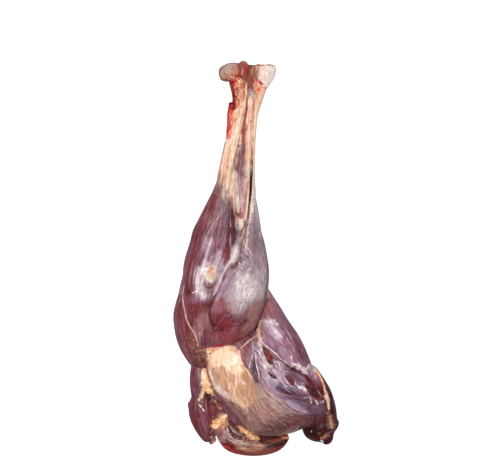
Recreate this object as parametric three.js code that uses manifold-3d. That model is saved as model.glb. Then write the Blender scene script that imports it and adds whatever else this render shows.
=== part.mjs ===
// A raw ostrich leg, drumstick and thigh in one piece, skinned and taken off at the ankle and the hip.
// It lies on its back: X runs across the leg, Y along it towards the ankle, Z up from the table.
// Sizes are in millimetres. The origin is on the table, under the middle of the leg.
import * as THREE from "three";
import { mergeVertices } from "three/addons/utils/BufferGeometryUtils.js";
import Module from "manifold-3d";

const wasm = await Module();
wasm.setup();

// Driving sizes. The stations below are drawn for the leg of DRAWN, and stretch with these.
const LEG_LENGTH = 650;
const LEG_WIDTH = 272;
const LEG_DEPTH = 130;
const DRAWN = { length: 650, width: 272, depth: 130 };
const BONE_GAP = 0.3;
const BONE_BLUNTNESS = 0.35;
const TABLE_MARGIN = 40;

// Facets of one muscle: sides round its girth and rings along it
const SIDES = 16;
const RINGS = 12;

// Each station along a piece is [x, y, z, half width, half depth].
// The knuckle of the shin bone: two condyles, the ridge between them and the shaft that runs into the flesh.
const KNUCKLE = {
  left_condyle: [
    [-60, 306, 54, 11, 22],
    [-44, 306, 54, 16, 30],
    [-24, 308, 55, 14, 26],
  ],
  ridge: [
    [-38, 309, 56, 13, 22],
    [-20, 310, 57, 15, 25],
    [-4, 308, 56, 13, 22],
  ],
  right_condyle: [
    [-4, 308, 55, 12, 22],
    [14, 303, 54, 19, 31],
    [36, 309, 54, 13, 24],
  ],
  shaft: [
    [-15, 314, 56, 24, 20],
    [-12, 284, 56, 25, 20],
    [-19, 240, 56, 14, 14],
    [-24, 188, 57, 13, 13],
  ],
};

// The masses that lie under the muscles that show
const CORE = {
  shank: [
    [-13, 290, 56, 20, 20],
    [-18, 255, 56, 25, 21],
    [-24, 200, 56, 25, 21],
    [-31, 140, 58, 28, 24],
    [-36, 84, 62, 36, 34],
  ],
  drumstick: [
    [-33, 125, 58, 28, 24],
    [-45, 64, 54, 48, 42],
    [-49, 0, 50, 64, 52],
    [-58, -70, 48, 70, 54],
    [-64, -125, 50, 60, 54],
    [-66, -168, 52, 36, 40],
  ],
  thigh: [
    [-50, -110, 52, 46, 46],
    [-24, -165, 50, 78, 52],
    [4, -215, 46, 94, 50],
    [-6, -265, 38, 70, 40],
    [-18, -296, 32, 44, 26],
  ],
  back_of_calf: [
    [-26, 110, 48, 22, 24],
    [-34, 30, 36, 46, 38],
    [-46, -50, 34, 58, 40],
    [-54, -130, 38, 44, 40],
  ],
  back_of_thigh: [
    [-40, -140, 36, 40, 36],
    [20, -185, 34, 52, 38],
    [62, -230, 32, 40, 34],
    [92, -268, 30, 20, 22],
  ],
};

// Tendons and strips of the shank, from its left edge to its right
const SHANK = {
  torn_edge: [
    [-33, 294, 62, 8, 14],
    [-40, 245, 56, 9, 14],
    [-43, 200, 56, 8, 13],
    [-50, 150, 58, 10, 15],
    [-62, 100, 62, 14, 20],
  ],
  ankle_sinew: [
    [-28, 302, 74, 10, 9],
    [-29, 273, 71, 12, 9],
    [-32, 236, 67, 9, 9],
  ],
  left_tendon: [
    [-22, 282, 71, 8, 7],
    [-29, 210, 71, 10, 7],
    [-40, 162, 73, 14, 9],
    [-47, 121, 78, 16, 12],
    [-52, 76, 92, 12, 11],
  ],
  middle_strip: [
    [-15, 250, 72, 5, 6],
    [-21, 187, 73, 8, 7],
    [-25, 140, 77, 11, 10],
    [-27, 100, 84, 12, 14],
    [-26, 52, 94, 9, 14],
  ],
  centre_tendon: [
    [-4, 284, 73, 8, 7],
    [-6, 222, 72, 8, 7],
    [-10, 187, 74, 7, 8],
    [-14, 140, 80, 7, 8],
    [-18, 62, 101, 5, 8],
  ],
  right_tendon: [
    [14, 286, 64, 8, 13],
    [3, 240, 62, 6, 15],
    [-4, 180, 63, 5, 16],
    [-5, 120, 70, 7, 19],
    [-6, 80, 78, 9, 23],
  ],
};

const DRUMSTICK = {
  shin_muscle: [
    [-56, 130, 66, 13, 16],
    [-60, 84, 72, 29, 29],
    [-69, 38, 76, 40, 41],
    [-83, -15, 76, 39, 43],
    [-92, -60, 74, 30, 42],
    [-93, -98, 70, 22, 40],
    [-80, -148, 62, 13, 30],
  ],
  calf_muscle: [
    [-4, 106, 76, 8, 17],
    [-5, 44, 86, 16, 29],
    [-8, -10, 88, 30, 39],
    [-17, -52, 88, 37, 42],
    [-28, -88, 86, 40, 40],
    [-34, -124, 84, 24, 26],
  ],
  calf_base: [
    [-6, 40, 62, 18, 32],
    [-17, -34, 68, 38, 43],
    [-30, -80, 70, 46, 46],
    [-38, -112, 68, 46, 46],
    [-52, -149, 64, 26, 32],
  ],
  outer_muscle: [
    [-88, 20, 58, 20, 34],
    [-97, -51, 55, 33, 46],
    [-98, -98, 54, 38, 48],
    [-95, -140, 54, 36, 42],
    [-88, -176, 54, 20, 28],
  ],
  seam_strip: [
    [-20, 52, 98, 5, 8],
    [-31, 15, 104, 8, 10],
    [-46, -25, 105, 9, 11],
    [-62, -61, 102, 8, 11],
    [-72, -98, 94, 5, 9],
  ],
};

const THIGH = {
  rear_muscle: [
    [2, -38, 46, 20, 34],
    [27, -106, 50, 28, 40],
    [51, -146, 50, 28, 42],
    [70, -185, 46, 28, 38],
    [98, -222, 40, 15, 26],
  ],
  rear_band: [
    [-2, -135, 58, 20, 34],
    [32, -178, 55, 22, 38],
    [66, -208, 50, 21, 38],
    [106, -236, 42, 13, 28],
  ],
  lower_band: [
    [-20, -160, 66, 18, 30],
    [22, -208, 66, 20, 36],
    [64, -234, 58, 20, 36],
    [110, -250, 42, 13, 26],
  ],
  fan_muscle: [
    [-42, -142, 64, 26, 32],
    [-18, -202, 66, 46, 46],
    [14, -244, 58, 46, 48],
    [58, -262, 46, 28, 36],
    [100, -257, 38, 13, 23],
  ],
  rear_lobe: [
    [94, -176, 40, 13, 22],
    [116, -232, 34, 18, 26],
    [106, -272, 30, 29, 26],
    [108, -294, 28, 19, 20],
    [121, -305, 28, 8, 12],
  ],
  edge_muscle: [
    [-88, -150, 44, 18, 30],
    [-91, -207, 42, 17, 34],
    [-88, -255, 40, 14, 28],
  ],
  front_lobe: [
    [-84, -205, 40, 13, 28],
    [-88, -248, 37, 25, 36],
    [-76, -301, 32, 15, 26],
  ],
  hip_meat: [
    [-72, -205, 42, 16, 28],
    [-58, -262, 38, 24, 30],
    [-24, -292, 34, 20, 26],
    [24, -292, 32, 16, 24],
  ],
  hip_flap: [
    [-60, -290, 30, 9, 18],
    [-34, -306, 28, 15, 20],
    [0, -311, 27, 14, 20],
    [32, -302, 28, 15, 20],
    [56, -286, 30, 10, 16],
  ],
  knee_cap: [
    [-50, -138, 64, 26, 30],
    [-48, -180, 68, 32, 36],
    [-42, -224, 66, 18, 28],
  ],
};

const FAT = {
  knee_fat: [
    [-84, -178, 70, 8, 10],
    [-80, -205, 74, 9, 11],
    [-68, -234, 74, 6, 9],
  ],
  hip_fat: [
    [-68, -276, 60, 8, 9],
    [-55, -266, 64, 10, 10],
    [-45, -253, 68, 8, 8],
  ],
  flap_fat: [
    [-20, -276, 60, 7, 8],
    [4, -288, 56, 7, 8],
    [22, -292, 52, 5, 7],
  ],
};

const STRETCH = new THREE.Vector3(
  LEG_WIDTH / DRAWN.width,
  LEG_LENGTH / DRAWN.length,
  LEG_DEPTH / DRAWN.depth,
);

// A sphere drawn out along a curve: its poles close the ends, and its rings take the stations' sizes.
// bluntness below 1 makes the ends fuller than an ellipsoid's; roomier swells the piece all round.
function drawnOut(stations, { bluntness = 0.5, roomier = 0 } = {}) {
  const places = stations.map(([x, y, z]) => new THREE.Vector3(x, y, z).multiply(STRETCH));
  const sizes = stations.map(([, , , w, d]) => new THREE.Vector3(w * STRETCH.x, d * STRETCH.z, 0));
  const spine = new THREE.CatmullRomCurve3(places);
  const girth = new THREE.CatmullRomCurve3(sizes);
  const ball = new THREE.SphereGeometry(1, SIDES, RINGS);
  const up = new THREE.Vector3(0, 0, 1);
  const spot = new THREE.Vector3();
  for (let i = 0; i < ball.attributes.position.count; i++) {
    spot.fromBufferAttribute(ball.attributes.position, i);
    const along = THREE.MathUtils.clamp((1 - spot.y) / 2, 0, 1);
    const around = Math.atan2(-spot.z, spot.x);
    const fullness = Math.hypot(spot.x, spot.z) ** bluntness;
    const tangent = spine.getTangent(along);
    const side = new THREE.Vector3().crossVectors(tangent, up).normalize();
    const rise = new THREE.Vector3().crossVectors(side, tangent);
    const size = girth.getPoint(along);
    const point = spine.getPoint(along);
    point.addScaledVector(side, Math.cos(around) * fullness * (size.x + roomier));
    point.addScaledVector(rise, Math.sin(around) * fullness * (size.y + roomier));
    ball.attributes.position.setXYZ(i, point.x, point.y, point.z);
  }
  return ball;
}

function solid(geometry) {
  const bare = geometry.clone();
  bare.deleteAttribute("normal");
  bare.deleteAttribute("uv");
  const merged = mergeVertices(bare, 1e-4);
  return new wasm.Manifold(
    new wasm.Mesh({
      numProp: 3,
      vertProperties: merged.attributes.position.array,
      triVerts: new Uint32Array(merged.index.array),
    }),
  );
}

function joined(pieces, shape) {
  const solids = Object.values(pieces).map((stations) => solid(drawnOut(stations, shape)));
  return solids.reduce((whole, piece) => whole.add(piece));
}

function node(name, body, material) {
  const mesh = body.getMesh();
  const geometry = new THREE.BufferGeometry();
  geometry.setAttribute("position", new THREE.BufferAttribute(mesh.vertProperties, 3));
  geometry.setIndex(new THREE.BufferAttribute(mesh.triVerts, 1));
  geometry.computeVertexNormals();
  const made = new THREE.Mesh(geometry, material);
  made.name = name;
  return made;
}

// Everything below the table top, which presses the underside flat where the leg rests
function table() {
  const size = [LEG_WIDTH + TABLE_MARGIN, LEG_LENGTH + TABLE_MARGIN, LEG_DEPTH];
  return solid(new THREE.BoxGeometry(...size).translate(0, 0, -LEG_DEPTH / 2));
}

const bone = joined(KNUCKLE, { bluntness: BONE_BLUNTNESS });
const socket = joined(KNUCKLE, { bluntness: BONE_BLUNTNESS, roomier: BONE_GAP });
const flesh = [SHANK, DRUMSTICK, THIGH, FAT]
  .reduce((whole, group) => whole.add(joined(group)), joined(CORE))
  .subtract(socket)
  .subtract(table());

const cartilage = new THREE.MeshStandardMaterial({ color: "#d9c9b8", roughness: 0.45, metalness: 0 });
const rawMeat = new THREE.MeshStandardMaterial({ color: "#7d4a52", roughness: 0.4, metalness: 0 });

const leg = new THREE.Group();
leg.add(node("shin_bone", bone, cartilage));
leg.add(node("leg_flesh", flesh, rawMeat));

export default leg;
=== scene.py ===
# A raw ostrich leg lying on its back: bare ankle knuckle, tendon-wrapped shank, drumstick and fanned thigh.
import itertools

import bpy
import numpy as np
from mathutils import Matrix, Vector


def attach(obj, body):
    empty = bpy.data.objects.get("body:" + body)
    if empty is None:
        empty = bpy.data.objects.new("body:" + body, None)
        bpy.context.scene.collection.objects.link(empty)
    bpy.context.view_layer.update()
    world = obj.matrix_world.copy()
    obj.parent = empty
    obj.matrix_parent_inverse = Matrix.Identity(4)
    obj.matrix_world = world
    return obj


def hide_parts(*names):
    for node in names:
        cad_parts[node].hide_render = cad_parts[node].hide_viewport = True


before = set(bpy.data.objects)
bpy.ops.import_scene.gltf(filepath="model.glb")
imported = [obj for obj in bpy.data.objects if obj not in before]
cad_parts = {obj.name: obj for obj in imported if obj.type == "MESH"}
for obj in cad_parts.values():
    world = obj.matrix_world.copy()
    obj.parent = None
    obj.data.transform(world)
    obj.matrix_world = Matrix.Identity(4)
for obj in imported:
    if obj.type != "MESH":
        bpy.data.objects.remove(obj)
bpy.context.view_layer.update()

# Sizes are in millimetres, and MM turns them into Blender's metres.
MM = 0.001
LEG_LENGTH = 650.0

# The photograph: its size, the leg's length in it and the pixel under the leg's origin
PHOTO_WIDTH = 500
PHOTO_HEIGHT = 465
LEG_PIXELS = 396.0
ORIGIN_PIXEL = (255.5, 259.0)
PIXEL = LEG_LENGTH / LEG_PIXELS

# Camera, with the end of its view in metres
LENS = 250.0
SENSOR = 36.0
LEG_MID_HEIGHT = 60.0
CAMERA_RISE = PHOTO_WIDTH * PIXEL * LENS / SENSOR
CAMERA_X = (PHOTO_WIDTH / 2 - ORIGIN_PIXEL[0]) * PIXEL
CAMERA_Y = (ORIGIN_PIXEL[1] - PHOTO_HEIGHT / 2) * PIXEL
VIEW_END = 50

# Floor, and soft lamps as place and side in metres and power in watts
FLOOR_SIZE = 8000.0
FLOOR_DROP = 0.3
FLOOR_GRIT = 2.0
FLOOR_TONES = (0.38, 0.42)
FLOOR_GLOW = 0.95
WORLD_GLOW = 0.15
LAMPS = {
    "key_light": ((-0.7, 0.5, 3.1), 0.6, 66),
    "left_light": ((-2.2, 0.5, 1.6), 1.0, 16),
    "right_light": ((2.0, 0.2, 1.8), 1.0, 12),
    "low_light": ((0.3, -2.0, 2.0), 1.0, 12),
    "top_light": ((0.0, 2.2, 2.2), 1.0, 14),
}

# Mesh: the spheres that muscles and lumps are drawn from, the steps along a muscle, and for each fused skin
# its fineness and the rounds that smooth it
SIDES = 56
RINGS = 44
LUMP_SIDES = 20
LUMP_RINGS = 14
SPINE_STEPS = 80
SHANK_VOXEL = 0.84
SHANK_SMOOTHING = 3
DRUMSTICK_VOXEL = 1.38
DRUMSTICK_SMOOTHING = 8
THIGH_VOXEL = 1.34
THIGH_SMOOTHING = 14
HIP_VOXEL = 1.0
HIP_SMOOTHING = 6
BONE_VOXEL = 0.9
BONE_SMOOTHING = 8
SMOOTHING_SHARE = 0.5

# How blunt drawn-out ends are, and how full a muscle is at its very end
BLUNTNESS = 0.5
BONE_BLUNTNESS = 0.35
LEAST_FULLNESS = 0.02

# Lumps: their sizes, stretch, thickness and scatter as shares of those in their trail
LUMP_SIZES = (0.6, 1.15)
LUMP_STRETCH = 1.1
LUMP_TILT = 0.1
LUMP_THICKNESS = 0.85
LUMP_SCATTER = (1, 1, 0.4)

# Room round a muscle in which points can belong to it, the shift that sets each muscle's fibres apart, and
# the gap below which two turns of a curve are one
MUSCLE_ROOM = 6
FIBRE_SHIFT = 37.0
SAME_SPOT = 1e-4

# Shader patterns: fibre bundles, film threads, mottling, specks, grain, fat lobules and the depth of the
# bump
STRAND_WIDTH = 2.2
STRAND_LENGTH = 55.0
THREAD_WIDTH = 1.0
THREAD_LENGTH = 45.0
THREAD_SHARE = 0.4
MOTTLE = 9.0
SPECK = 1.7
GRAIN_WIDTH = 2.8
GRAIN_LENGTH = 13.0
FAT_GRAIN = 3.0
CARTILAGE_MOTTLE = 3.4
BUMP_DEPTH = 1.0
BUMP_STRENGTH = 0.6

# Where each pattern's noise begins to show, where it shows fully, and how strong it is there
FILM_THREADS = (0.52, 0.78, 0.55)
FIBRE_GAPS = (0.5, 0.26, 0.75)
BLOTCHES = (0.42, 0.72, 0.62)
BLOOD_SPECKS = (0.62, 0.76, 0.5)
FAT_CELLS = (0.25, 0.7, 0.75)
BONE_BLOTCHES = (0.4, 0.7, 1.0)

# The tone of film threads, and what the darker patterns leave of red, green and blue
THREAD_TONE = "#d8c4cc"
GAP_TINT = (0.62, 0.36, 0.38)
BLOTCH_TINT = (0.84, 0.62, 0.62)
SPECK_TINT = (0.55, 0.3, 0.3)
CELL_TINT = (0.8, 0.56, 0.38)
BONE_TINT = (0.74, 0.6, 0.54)

# Grain: the span of its noise, how far that darkens and lightens, and its share on muscle and everywhere
GRAIN_SPAN = (0.28, 0.72)
GRAIN_LIGHT = (-0.42, 0.44)
GRAIN_ON_MUSCLE = 0.8
GRAIN_EVERYWHERE = 0.2

# How far mottling makes a surface wetter or drier, and how much mottling and fat cells count in the bump
DAMPNESS = 0.4
BONE_DAMPNESS = 0.3
MOTTLE_BUMP = 0.5
CELL_BUMP = -0.6

# Strokes: how far they stray and over what length, the steps between turns, the reach of their rim in half
# widths, the pixels kept round them and how far a film's edge frays along the fibres in pixels
WOBBLE = 0.8
WOBBLE_LENGTH = 14.0
STROKE_STEPS = 6
STROKE_RIM = 1.15
STROKE_ROOM = 2
FEATHER = 6.0

# How far a surface faces up before a stroke reaches it, and the height from which a deep stroke paints
# walls too
FACING_UP = (-0.15, 0.25)
UPPER_HEIGHT = (48, 62)

# Clouds of noise: the size of their lumps for ragged edges, patches, film, flushes, swellings and tone, and
# the length and width of the strands of muscle
CLOUD_SEED = 11
CLOUD_SIZE = 64
RAGGED_GRAINS = (7.0, 2.8)
PATCH_GRAIN = 5.0
FILM_GRAIN = 40.0
FLUSH_GRAIN = 16.0
SWELLING_GRAIN = 28.0
TONE_GRAINS = (11.0, 4.0)
BUNDLE = (50.0, 5.0, 1.0)
FIBRE = (26.0, 2.4, 1.0)

# Washes over all muscle before the strokes: how strong film, flushes, gaps between fibres, the passing into
# tendon and the film on the underside are at most
GROUND_ROUNDS = 8
FILM_WASH = 0.45
FLUSH_WASH = 0.35
GAP_WASH = 0.5
TENDON_WASH = 0.8
UNDER_WASH = 0.5
TENDON_START = (64, 134)
TENDON_END = (136, 186)

# Relief of swellings, strands and fat lobules
SWELLING = 1.6
STRAND_RELIEF = 0.8
FAT_RELIEF = 1.2

# Tone: how wetness deepens it, how far it varies and in which of red, green and blue the most, how the
# painted edges are crisped and the darkest that this may make them
WET_DEPTH = 1.12
TONE_SPREAD = 0.35
TONE_POWERS = (0.8, 1.2, 1.1)
CRISP_ROUNDS = 6
CRISPNESS = 0.5
DARKEST = 0.03

# Creases: the rounds that find them, how deep one is before painted shade darkens it and how much it does
CREASE_ROUNDS = 24
CREASE_DEPTH = (0.2, 1.4)
CREASE_SHADE = 0.2
CREASE_SHADE_ON_MUSCLE = 0.5

# Width of the lumps that raise fat
FAT_LUMP = FAT_GRAIN * 1.4

# Spans over which noise, or the fibre of a tissue, counts from not at all to fully
RAGGED_SPAN = (0.2, 0.8)
PATCH_SPAN = (0.35, 0.75)
STRAND_SPAN = (0.35, 0.65)
MEATY_SPAN = (0.5, 0.9)
FILM_SPAN = (0.6, 0.95)
FLUSH_SPAN = (0.5, 0.85)
GAP_SPAN = (-0.5, -0.25)
UNDER_SPAN = (0.1, 0.6)
UNDER_FILM_SPAN = (0.45, 0.7)
TONE_SPAN = (0.4, 0.8)
CREASE_SHADE_SPAN = (0.45, 0.9)

# Each station along a muscle, tendon or bone is [x, y, z, half width, half depth].
KNUCKLE = {
    "left_condyle": [
        [-60, 306, 54, 11, 22], [-44, 306, 54, 15.5, 30], [-30, 307.5, 54, 15, 24], [-18, 308, 54, 11, 18],
    ],
    "condyle_lip": [[-57, 299, 62, 4, 8], [-51, 295.5, 62, 4.2, 8], [-43, 294, 60, 4, 8]],
    "ridge": [
        [-19.5, 325, 63, 6.5, 12], [-20, 317, 63, 9, 15], [-20.5, 306, 64, 10, 21], [-22, 284, 63, 8.5, 15],
    ],
    "right_condyle": [
        [16, 321, 54, 21.5, 25], [15.5, 306, 54, 18.6, 28], [9, 286, 55, 12.5, 22], [7, 274, 56, 9, 13],
    ],
    "shaft": [[-14, 319, 52, 22, 18], [-12, 284, 54, 24, 19], [-19, 240, 56, 14, 14], [-24, 188, 57, 13, 13]],
}
SHANK = {
    "shank": [
        [-13, 292, 56, 19, 18], [-18, 255, 56, 22, 19], [-24, 200, 56, 24, 20], [-31, 140, 58, 28, 24],
        [-36, 84, 60, 32, 28],
    ],
    "torn_top": [
        [-40, 300, 62, 4, 9], [-38.5, 287, 62, 5, 10], [-34.5, 274, 62, 5, 11], [-33.5, 264, 61, 5, 11],
        [-36, 250, 61, 4, 9],
    ],
    "torn_tissue": [
        [-40.5, 254, 60, 6, 11], [-40, 231, 59, 7.5, 13], [-41.5, 204, 58, 7, 13], [-42, 194, 58, 5, 10],
    ],
    "torn_edge": [
        [-38, 214, 58, 6, 12], [-40.5, 202, 58, 8, 14], [-47.5, 163, 60, 9, 15], [-54, 123, 63, 11, 18],
        [-60, 95, 66, 8, 14],
    ],
    "blood_lump": [[-43, 256, 62, 3, 6], [-38.5, 251, 64, 5.5, 9], [-36, 242, 63, 4, 7]],
    "sinew_bed": [[-28, 302, 66, 9, 8], [-27, 274, 66, 11, 9], [-29, 238, 65, 8, 8]],
    "sinew_left": [
        [-36, 302, 70, 2, 4], [-32, 291, 73, 3.6, 5], [-35, 277, 73, 3, 5], [-30, 263, 72, 3.4, 4.5],
        [-29, 245, 70, 1.6, 3],
    ],
    "sinew_right": [
        [-27, 312, 71, 2, 4], [-24, 297, 75, 3.6, 5], [-27, 281, 75, 3.2, 5], [-22, 267, 73, 3.4, 4.5],
        [-24, 249, 71, 1.6, 3],
    ],
    "sinew_inner": [[-18, 300, 72, 2, 4], [-16, 286, 74, 3, 5], [-15, 268, 72, 3, 5], [-16, 254, 70, 1.5, 3]],
    "left_tendon": [
        [-18, 266, 70, 2.5, 4], [-23, 241, 72, 5.5, 6], [-28, 220, 73, 7.5, 7], [-33, 195, 74, 7, 7.5],
        [-39.5, 166, 76, 7.5, 8], [-43.5, 143, 79, 6.5, 8.5], [-46, 123, 78, 5.5, 7],
        [-48.5, 106, 79, 4, 5], [-49, 92, 78, 2, 3],
    ],
    "outer_tendon": [
        [-33, 240, 66, 3, 6], [-36.5, 222, 67, 3.5, 8], [-41, 198, 67, 4, 9], [-46, 185, 68, 4.5, 10],
        [-51, 166, 69, 4.5, 10], [-54, 143, 72, 4.5, 11], [-57, 122, 76, 3.5, 9], [-59, 104, 82, 2, 5],
    ],
    "middle_strip": [
        [-15, 258, 69, 2.5, 4], [-16, 228, 70, 3.5, 5], [-20, 187, 72, 5.5, 6], [-25, 150, 76, 7, 8],
        [-27, 115, 83, 8, 10], [-26, 80, 91, 7, 10], [-24.5, 56, 97, 4.5, 6], [-26, 36, 99, 3, 4],
    ],
    "strip_bed": [[-17, 132, 80, 4, 6], [-18.5, 104, 88, 5.5, 8], [-20, 76, 94, 5.5, 8], [-21, 48, 99, 3, 4]],
    "centre_tendon": [
        [-7, 270, 70, 4, 6], [-7.4, 241, 72, 4.1, 6.5], [-9, 220, 74, 4.1, 7], [-11.3, 195, 75, 5.4, 7.5],
        [-11.5, 176, 77, 5.4, 8], [-11.6, 154, 80, 4.6, 8], [-12, 130, 85, 3.8, 8], [-13.2, 92, 96, 2.7, 6],
        [-16, 56, 103, 1.8, 4],
    ],
    "right_tendon": [
        [15, 283, 64, 8, 13], [6.5, 262, 63, 7, 14], [0.5, 241, 62, 5, 15], [-3, 205, 63, 3.8, 16],
        [-3.4, 172, 66, 3, 17], [-4, 140, 70, 3.2, 18], [-4, 110, 76, 5, 19], [-5, 80, 80, 7, 20],
    ],
}
DRUMSTICK = {
    "drumstick": [
        [-33, 125, 58, 28, 24], [-45, 64, 54, 48, 42], [-49, 0, 50, 64, 52], [-58, -70, 48, 70, 54],
        [-66, -125, 50, 54, 54], [-66, -168, 52, 36, 40],
    ],
    "back_of_calf": [
        [-26, 110, 48, 22, 24], [-34, 30, 36, 46, 38], [-46, -50, 34, 58, 40], [-54, -130, 38, 44, 40],
    ],
    "shin_muscle": [
        [-53, 146, 66, 7, 9], [-56, 118, 68, 14.5, 19], [-58.5, 84, 72, 26.5, 29], [-62, 60, 74, 32, 36],
        [-68, 32, 76, 37.6, 41], [-82, -15, 76, 37, 43], [-92, -60, 74, 30, 42], [-93, -98, 70, 22, 40],
        [-80, -148, 62, 13, 30],
    ],
    "calf_muscle": [
        [-5, 122, 74, 4, 12], [-6, 96, 78, 7.5, 18], [-5, 44, 86, 16, 29], [-8, -10, 88, 30, 39],
        [-17, -52, 88, 37, 42], [-30, -88, 86, 38, 40], [-34, -124, 84, 24, 26],
    ],
    "calf_base": [
        [-8, 138, 60, 6, 15], [-6, 40, 62, 18, 32], [-17, -34, 68, 38, 43], [-31, -80, 70, 44, 46],
        [-42, -112, 68, 40, 46], [-52, -149, 64, 26, 32],
    ],
    "outer_muscle": [
        [-88, 20, 58, 20, 34], [-96, -51, 55, 31, 46], [-98, -98, 54, 38, 48], [-92, -140, 54, 34, 42],
        [-88, -166, 54, 25, 34], [-84, -186, 54, 14, 22],
    ],
    "seam_strip": [
        [-21, 52, 94, 2, 5], [-29, 24, 94, 5, 7], [-32, 12, 94, 7.5, 8], [-36, 1, 95, 7, 8],
        [-42.5, -8, 98, 4, 7], [-48, -16, 98, 2.6, 6.5], [-56, -29, 97.5, 2.8, 6.5],
        [-61.5, -44, 96.5, 2.8, 6.5], [-65, -62, 93.5, 2, 5],
    ],
    "seam_fold": [
        [-36, -12, 98, 2, 5], [-41.5, -20, 98.5, 3.6, 6], [-50, -38, 98, 4.4, 7], [-60, -58, 95, 3, 6],
        [-67, -72, 91, 1.5, 4],
    ],
}
THIGH = {
    "thigh": [
        [-50, -110, 52, 46, 46], [-24, -165, 50, 78, 52], [4, -215, 46, 90, 50], [0, -260, 38, 66, 40],
        [0, -286, 32, 40, 26],
    ],
    "back_of_thigh": [
        [-40, -140, 36, 40, 36], [20, -185, 34, 52, 38], [62, -230, 32, 40, 34], [92, -268, 30, 20, 22],
    ],
    "rear_muscle": [
        [2, -38, 46, 20, 34], [27, -106, 50, 28, 40], [51, -146, 50, 28, 42], [70, -185, 46, 28, 38],
        [98, -222, 40, 15, 26],
    ],
    "rear_band": [
        [-2, -135, 58, 20, 34], [32, -178, 55, 22, 38], [66, -208, 50, 21, 38], [106, -236, 42, 13, 28],
    ],
    "lower_band": [
        [-20, -160, 66, 18, 30], [22, -208, 66, 20, 36], [64, -234, 58, 20, 36], [110, -250, 42, 13, 26],
    ],
    "fan_muscle": [
        [-42, -142, 64, 26, 32], [-18, -202, 66, 46, 46], [14, -244, 58, 46, 48], [58, -262, 46, 28, 36],
        [100, -257, 38, 13, 23],
    ],
    "knee_cap": [
        [-50, -136, 60, 30, 28], [-44, -176, 64, 38, 34], [-32, -218, 64, 32, 34], [-16, -246, 58, 18, 26],
    ],
    "rear_lobe": [
        [91.5, -176, 40, 12.5, 22], [113.5, -232, 34, 17.5, 26], [107, -271, 30, 31.5, 26],
        [112, -286, 28, 30, 20], [119, -300, 28, 14, 12],
    ],
    "lobe_knob": [[115, -280, 29, 10, 16], [119, -294, 28, 10, 14], [115, -306, 28, 7, 10]],
    "edge_roll": [[96, -178, 52, 4, 6], [108, -200, 54, 5, 7], [115, -222, 53, 5, 7], [120, -246, 50, 4, 6]],
}
HIP = {
    "edge_muscle": [[-88, -150, 44, 18, 30], [-91, -207, 42, 17, 34], [-88, -255, 40, 14, 28]],
    "front_lobe": [[-84, -205, 40, 13, 28], [-87, -248, 37, 23.5, 36], [-76, -301, 32, 15, 26]],
    "lobe_nub": [[-104, -233, 44, 5, 9], [-107, -241, 43, 5, 9], [-104, -249, 42, 4, 8]],
    "hip_meat": [
        [-72, -205, 42, 16, 28], [-58, -262, 38, 24, 30], [-24, -292, 34, 20, 26], [24, -292, 32, 16, 24],
    ],
    "hip_flap": [
        [-62, -290, 30, 9, 18], [-38, -305, 28, 15.5, 20], [0, -311, 27, 14, 20], [32, -304, 28, 16, 20],
        [54, -291, 30, 12, 16],
    ],
    "knee_fat": [[-84, -178, 66, 6, 8], [-81, -200, 68, 8, 9], [-76, -216, 68, 6, 8]],
    "hip_fat": [[-68, -276, 56, 7, 8], [-56, -266, 60, 9, 10], [-49, -254, 62, 6, 8]],
    "flap_fat": [[-32, -270, 54, 4, 6], [-14, -285, 54, 6, 8], [6, -296, 50, 5, 7]],
}

# Loose lobules of fat and torn shreds: a count, then rows of [x, y, z, spread, half size] along their trail
TRAILS = {
    "knee_fat": (34, [
        [-85, -180, 71, 2, 2.4], [-83, -192, 73, 4, 3.2], [-80, -204, 74, 6, 3.6],
        [-74, -214, 74, 6, 3.6]]),
    "left_prong": (12, [[-86, -208, 72, 2, 3], [-89, -220, 72, 3, 3], [-92, -232, 70, 1, 2]]),
    "right_prong": (12, [[-72, -214, 75, 2, 3], [-68, -226, 73, 2, 2.4], [-67, -235, 71, 1, 1.6]]),
    "hip_fat": (26, [[-68, -273, 64, 3, 3], [-58, -268, 67, 6, 3.6], [-51, -258, 69, 3, 3]]),
    "flap_fat": (20, [
        [-32, -270, 61, 1, 2], [-18, -282, 61, 3, 2.6], [-6, -291, 59, 4, 3], [6, -296, 55, 2, 2.4]]),
    "hollow_crumb": (14, [[-70, -228, 68, 3, 1.8], [-63, -240, 66, 4, 2], [-58, -248, 66, 3, 1.8]]),
    "lobe_shred": (7, [[-82, -296, 34, 2, 3], [-74, -299, 34, 3, 3.5], [-67, -297, 36, 2, 3]]),
}
ANKLE_TRAILS = {
    "torn_red": (24, [
        [-42, 297, 67, 2, 1.6], [-37, 290, 71, 3, 2.2], [-32, 284, 75, 5, 2.2], [-33, 266, 73, 3, 1.8],
        [-35, 252, 69, 2, 1.6]]),
    "torn_orange": (26, [
        [-36, 300, 72, 3, 2.2], [-28, 292, 76, 6, 2.4], [-26, 278, 77, 6, 2.2], [-28, 258, 74, 4, 1.8]]),
    "torn_cream": (14, [[-33, 298, 75, 5, 1.5], [-26, 284, 78, 6, 1.7], [-24, 264, 76, 4, 1.5]]),
}

# What each tissue gives the eye: strength of its fibre streaks, roughness and fatty grain
TISSUES = {
    "muscle": (0.9, 0.40, 0.0),
    "bare muscle": (0.45, 0.38, 0.0),
    "silverskin": (0.65, 0.36, 0.0),
    "smooth muscle": (0.15, 0.36, 0.0),
    "tendon": (0.4, 0.42, 0.0),
    "fat": (0.05, 0.46, 1.0),
    "blood": (0.2, 0.26, 0.2),
    "bone": (0.0, 0.46, 0.1),
}

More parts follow.
